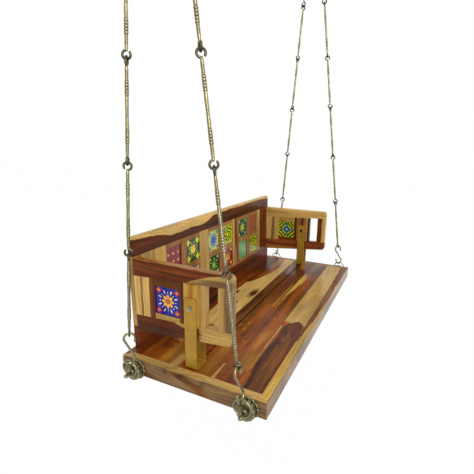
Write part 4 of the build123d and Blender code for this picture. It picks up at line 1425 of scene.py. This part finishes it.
class JHOOLA_OT_corner_fittings(bpy.types.Operator):
    """Makes the rings, studs, nuts and cast rosettes at the seat's corners"""

    bl_idname = "jhoola.corner_fittings"
    bl_label = "Corner Fittings"

    def execute(self, context):
        sizes, colours = context.scene.jhoola_sizes, context.scene.jhoola_colours
        hanging = Hanging(sizes)
        bright = brass_material(colours, "ring_brass")
        cast = brass_material(colours, "cast_brass", skin=0.00008)
        rings = []
        for end_name, matrix in hanging.frames.values():
            depth = hanging.length[end_name] - hanging.ring_above_stud + sizes.ring_radius
            x, y, z = (matrix @ moved(z=-depth))[:3, 3]
            rings.append(ring_surface(sizes.ring_radius, sizes.ring_wire, x, y, z))
        make_piece("corner_rings", rings, bright, "seat", "seat_rings")
        back = -sizes.board_thickness
        hole = sizes.stud_diameter / 2 + THREAD_PLAY
        nut = hexagon_nut(sizes.nut_width, back - sizes.nut_height, back, hole)
        studs, rosettes = [], []
        for side in (-1, 1):
            for y in hanging.stud_y.values():
                place = moved(side * sizes.seat_length / 2, y, hanging.stud_z)
                place[:3, :3] = np.stack([(0, 1, 0), (0, 0, side), (side, 0, 0)], -1)
                studs += [placed(stud_surface(sizes), place), placed(nut, place)]
                rosettes.append(placed(rosette_surface(sizes), place))
        make_piece("turned_studs", studs, bright, "seat", "ring_studs")
        make_piece("cast_rosettes", rosettes, cast, "seat", "rosettes", sharp=75)
        return {"FINISHED"}


class JHOOLA_OT_ceiling(bpy.types.Operator):
    """Makes the ceiling hooks with their collars and the rings that hang in them"""

    bl_idname = "jhoola.ceiling"
    bl_label = "Ceiling Fittings"

    def execute(self, context):
        sizes, colours = context.scene.jhoola_sizes, context.scene.jhoola_colours
        hanging = Hanging(sizes)
        brass = brass_material(colours, "ceiling_brass", aged=0.15)
        middle = sizes.hook_bend - sizes.hook_drop
        shank_top, shank_low = -0.0015, middle + sizes.hook_bend
        wire = sizes.hook_wire / 2
        angle = np.linspace(0, HOOK_ARC, 60)
        heights = np.array([shank_low - 0.0048, shank_low - 0.003, shank_low, shank_top])
        shank = turned(heights, wire * np.array([0.25, 0.8, 1.0, 1.0]), 24, 0.8)
        collar = hexagon_nut(sizes.collar_width, COLLAR_TOP - sizes.collar_height, COLLAR_TOP, wire)
        rings, hooks = [], []
        for x in (-hanging.x, hanging.x):
            rings.append(ring_surface(sizes.top_ring_radius, sizes.top_ring_wire, x, 0.0, hanging.top_ring_z))
            bend = arc_across_x(sizes.hook_bend, angle, x, 0.0, middle)
            hooks.append(rounded_wire(bend, X_AXIS, wire, 24, 0.8))
            hooks += [placed(shank, moved(x=x)), placed(collar, moved(x=x))]
        make_piece("bent_top_rings", rings, brass, "top_rings", "top_rings")
        make_piece("bent_ceiling_hooks", hooks, brass, "ceiling", "ceiling_hooks")
        dress("ceiling_plates", brass_material(colours, "plate_brass", skin=0.00004))
        return {"FINISHED"}


def shown_apart(tree, lit, shown, share, output):
    """Shows one shader, by a share, to the camera and in gloss and glass, and the lit one to all else."""
    rays = added(tree, "ShaderNodeLightPath").outputs
    seen = Field(tree, rays["Is Camera Ray"])
    seen = seen.larger(rays["Is Glossy Ray"]).larger(rays["Is Transmission Ray"])
    mixed = added(tree, "ShaderNodeMixShader", seen * share, lit, shown)
    tree.links.new(mixed.outputs[0], output)


class JHOOLA_OT_stage(bpy.types.Operator):
    """Makes the floor, the lamps, the background and the camera"""

    bl_idname = "jhoola.stage"
    bl_label = "Stage"

    def execute(self, context):
        scene = context.scene
        backdrop = scene.jhoola_colours.backdrop
        self.add_background(scene, backdrop)
        self.add_floor(scene, backdrop)
        self.add_lamps(scene)
        self.add_camera(scene)
        scene.view_settings.view_transform = "Standard"
        return {"FINISHED"}

    def add_background(self, scene, backdrop):
        """An even light, seen as the plain backdrop."""
        world = bpy.data.worlds.new("soft_room")
        scene.world = world
        world.use_nodes = True
        tree = world.node_tree
        tree.nodes.clear()
        lit, shown = (
            added(tree, "ShaderNodeBackground", backdrop, strength).outputs[0] for strength in (0.75, 1.0)
        )
        shown_apart(tree, lit, shown, 1.0, added(tree, "ShaderNodeOutputWorld").inputs[0])

    def add_floor(self, scene, backdrop):
        """A pale floor under the seat, seen almost as bright as the backdrop."""
        below_seat, reach = 0.40, 30.0
        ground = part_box("apron_front")[0].z - below_seat
        mesh = bpy.data.meshes.new("studio_floor")
        corners = [(x * reach, y * reach, ground) for x, y in ((-1, -1), (1, -1), (1, 1), (-1, 1))]
        mesh.from_pydata(corners, [], [(0, 1, 2, 3)])
        floor = bpy.data.objects.new("studio_floor", mesh)
        scene.collection.objects.link(floor)
        material, tree, shader = new_material("studio_floor")
        feed_named(tree, shader, {"Base Color": (0.9, 0.9, 0.9), "Roughness": 1.0, "Specular IOR Level": 0.0})
        glow = added(tree, "ShaderNodeEmission", backdrop)
        shown_apart(tree, shader.outputs[0], glow.outputs[0], 0.985, tree.nodes["Material Output"].inputs[0])
        mesh.materials.append(material)

    def add_lamps(self, scene):
        """Three large soft lamps, and a strip that only shows in gloss."""
        for name, place, aim, width, height, power in (
            ("key_lamp", (-3.2, -3.4, 1.2), (0.0, 0.0, -1.9), 2.6, 2.6, 80.0),
            ("fill_lamp", (2.6, -3.6, -0.4), (0.0, 0.0, -1.6), 2.4, 2.4, 34.0),
            ("rear_lamp", (1.5, 3.0, 1.4), (0.0, 0.0, -1.9), 2.6, 2.6, 36.0),
            ("strip_lamp", (-3.6, -2.6, -0.8), (0.0, 0.0, -0.8), 0.5, 3.6, 90.0),
        ):
            light = bpy.data.lights.new(name, "AREA")
            light.shape = "RECTANGLE"
            light.size = width
            light.size_y = height
            light.energy = power
            lamp = bpy.data.objects.new(name, light)
            lamp.location = place
            lamp.rotation_euler = (Vector(aim) - Vector(place)).to_track_quat("-Z", "Y").to_euler()
            lamp.visible_diffuse = name != "strip_lamp"
            scene.collection.objects.link(lamp)

    def add_camera(self, scene):
        """A camera at the front left of the seat, above it."""
        data = bpy.data.cameras.new("camera")
        data.lens = 27.42
        data.sensor_width = 36.0
        data.clip_end = 100.0
        camera = bpy.data.objects.new("camera", data)
        aim, dip, roll = -1.11740, 0.248196, 0.0136933
        turn = Matrix.Rotation(aim, 4, "Z") @ Matrix.Rotation(math.pi / 2 - dip, 4, "X")
        place = Matrix.Translation((-1.4005, -0.5964, -1.35154))
        camera.matrix_world = place @ turn @ Matrix.Rotation(roll, 4, "Z")
        scene.collection.objects.link(camera)
        scene.camera = camera


# ---- Panel ----

operators = (
    JHOOLA_OT_seat,
    JHOOLA_OT_backrest,
    JHOOLA_OT_arms,
    JHOOLA_OT_tiles,
    JHOOLA_OT_straps,
    JHOOLA_OT_chains,
    JHOOLA_OT_s_hooks,
    JHOOLA_OT_corner_fittings,
    JHOOLA_OT_ceiling,
    JHOOLA_OT_stage,
)


class JHOOLA_PT_panel(bpy.types.Panel):
    """Lists the swing's sizes, colours and steps"""

    bl_idname = "JHOOLA_PT_panel"
    bl_label = "Jhoola Swing"
    bl_space_type = "VIEW_3D"
    bl_region_type = "UI"
    bl_category = "Jhoola"

    def draw(self, context):
        for group in (context.scene.jhoola_sizes, context.scene.jhoola_colours):
            column = self.layout.column(align=True)
            for name in group.__annotations__:
                column.prop(group, name)
        column = self.layout.column()
        for operator in operators:
            column.operator(operator.bl_idname)


classes = (JhoolaSizes, JhoolaColours, *operators, JHOOLA_PT_panel)


def register():
    for item in classes:
        bpy.utils.register_class(item)
    bpy.types.Scene.jhoola_sizes = PointerProperty(type=JhoolaSizes)
    bpy.types.Scene.jhoola_colours = PointerProperty(type=JhoolaColours)


def unregister():
    del bpy.types.Scene.jhoola_colours
    del bpy.types.Scene.jhoola_sizes
    for item in reversed(classes):
        bpy.utils.unregister_class(item)


def main():
    """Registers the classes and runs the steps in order."""
    register()
    for operator in operators:
        group, name = operator.bl_idname.split(".")
        getattr(getattr(bpy.ops, group), name)()


if __name__ == "__main__":
    main()
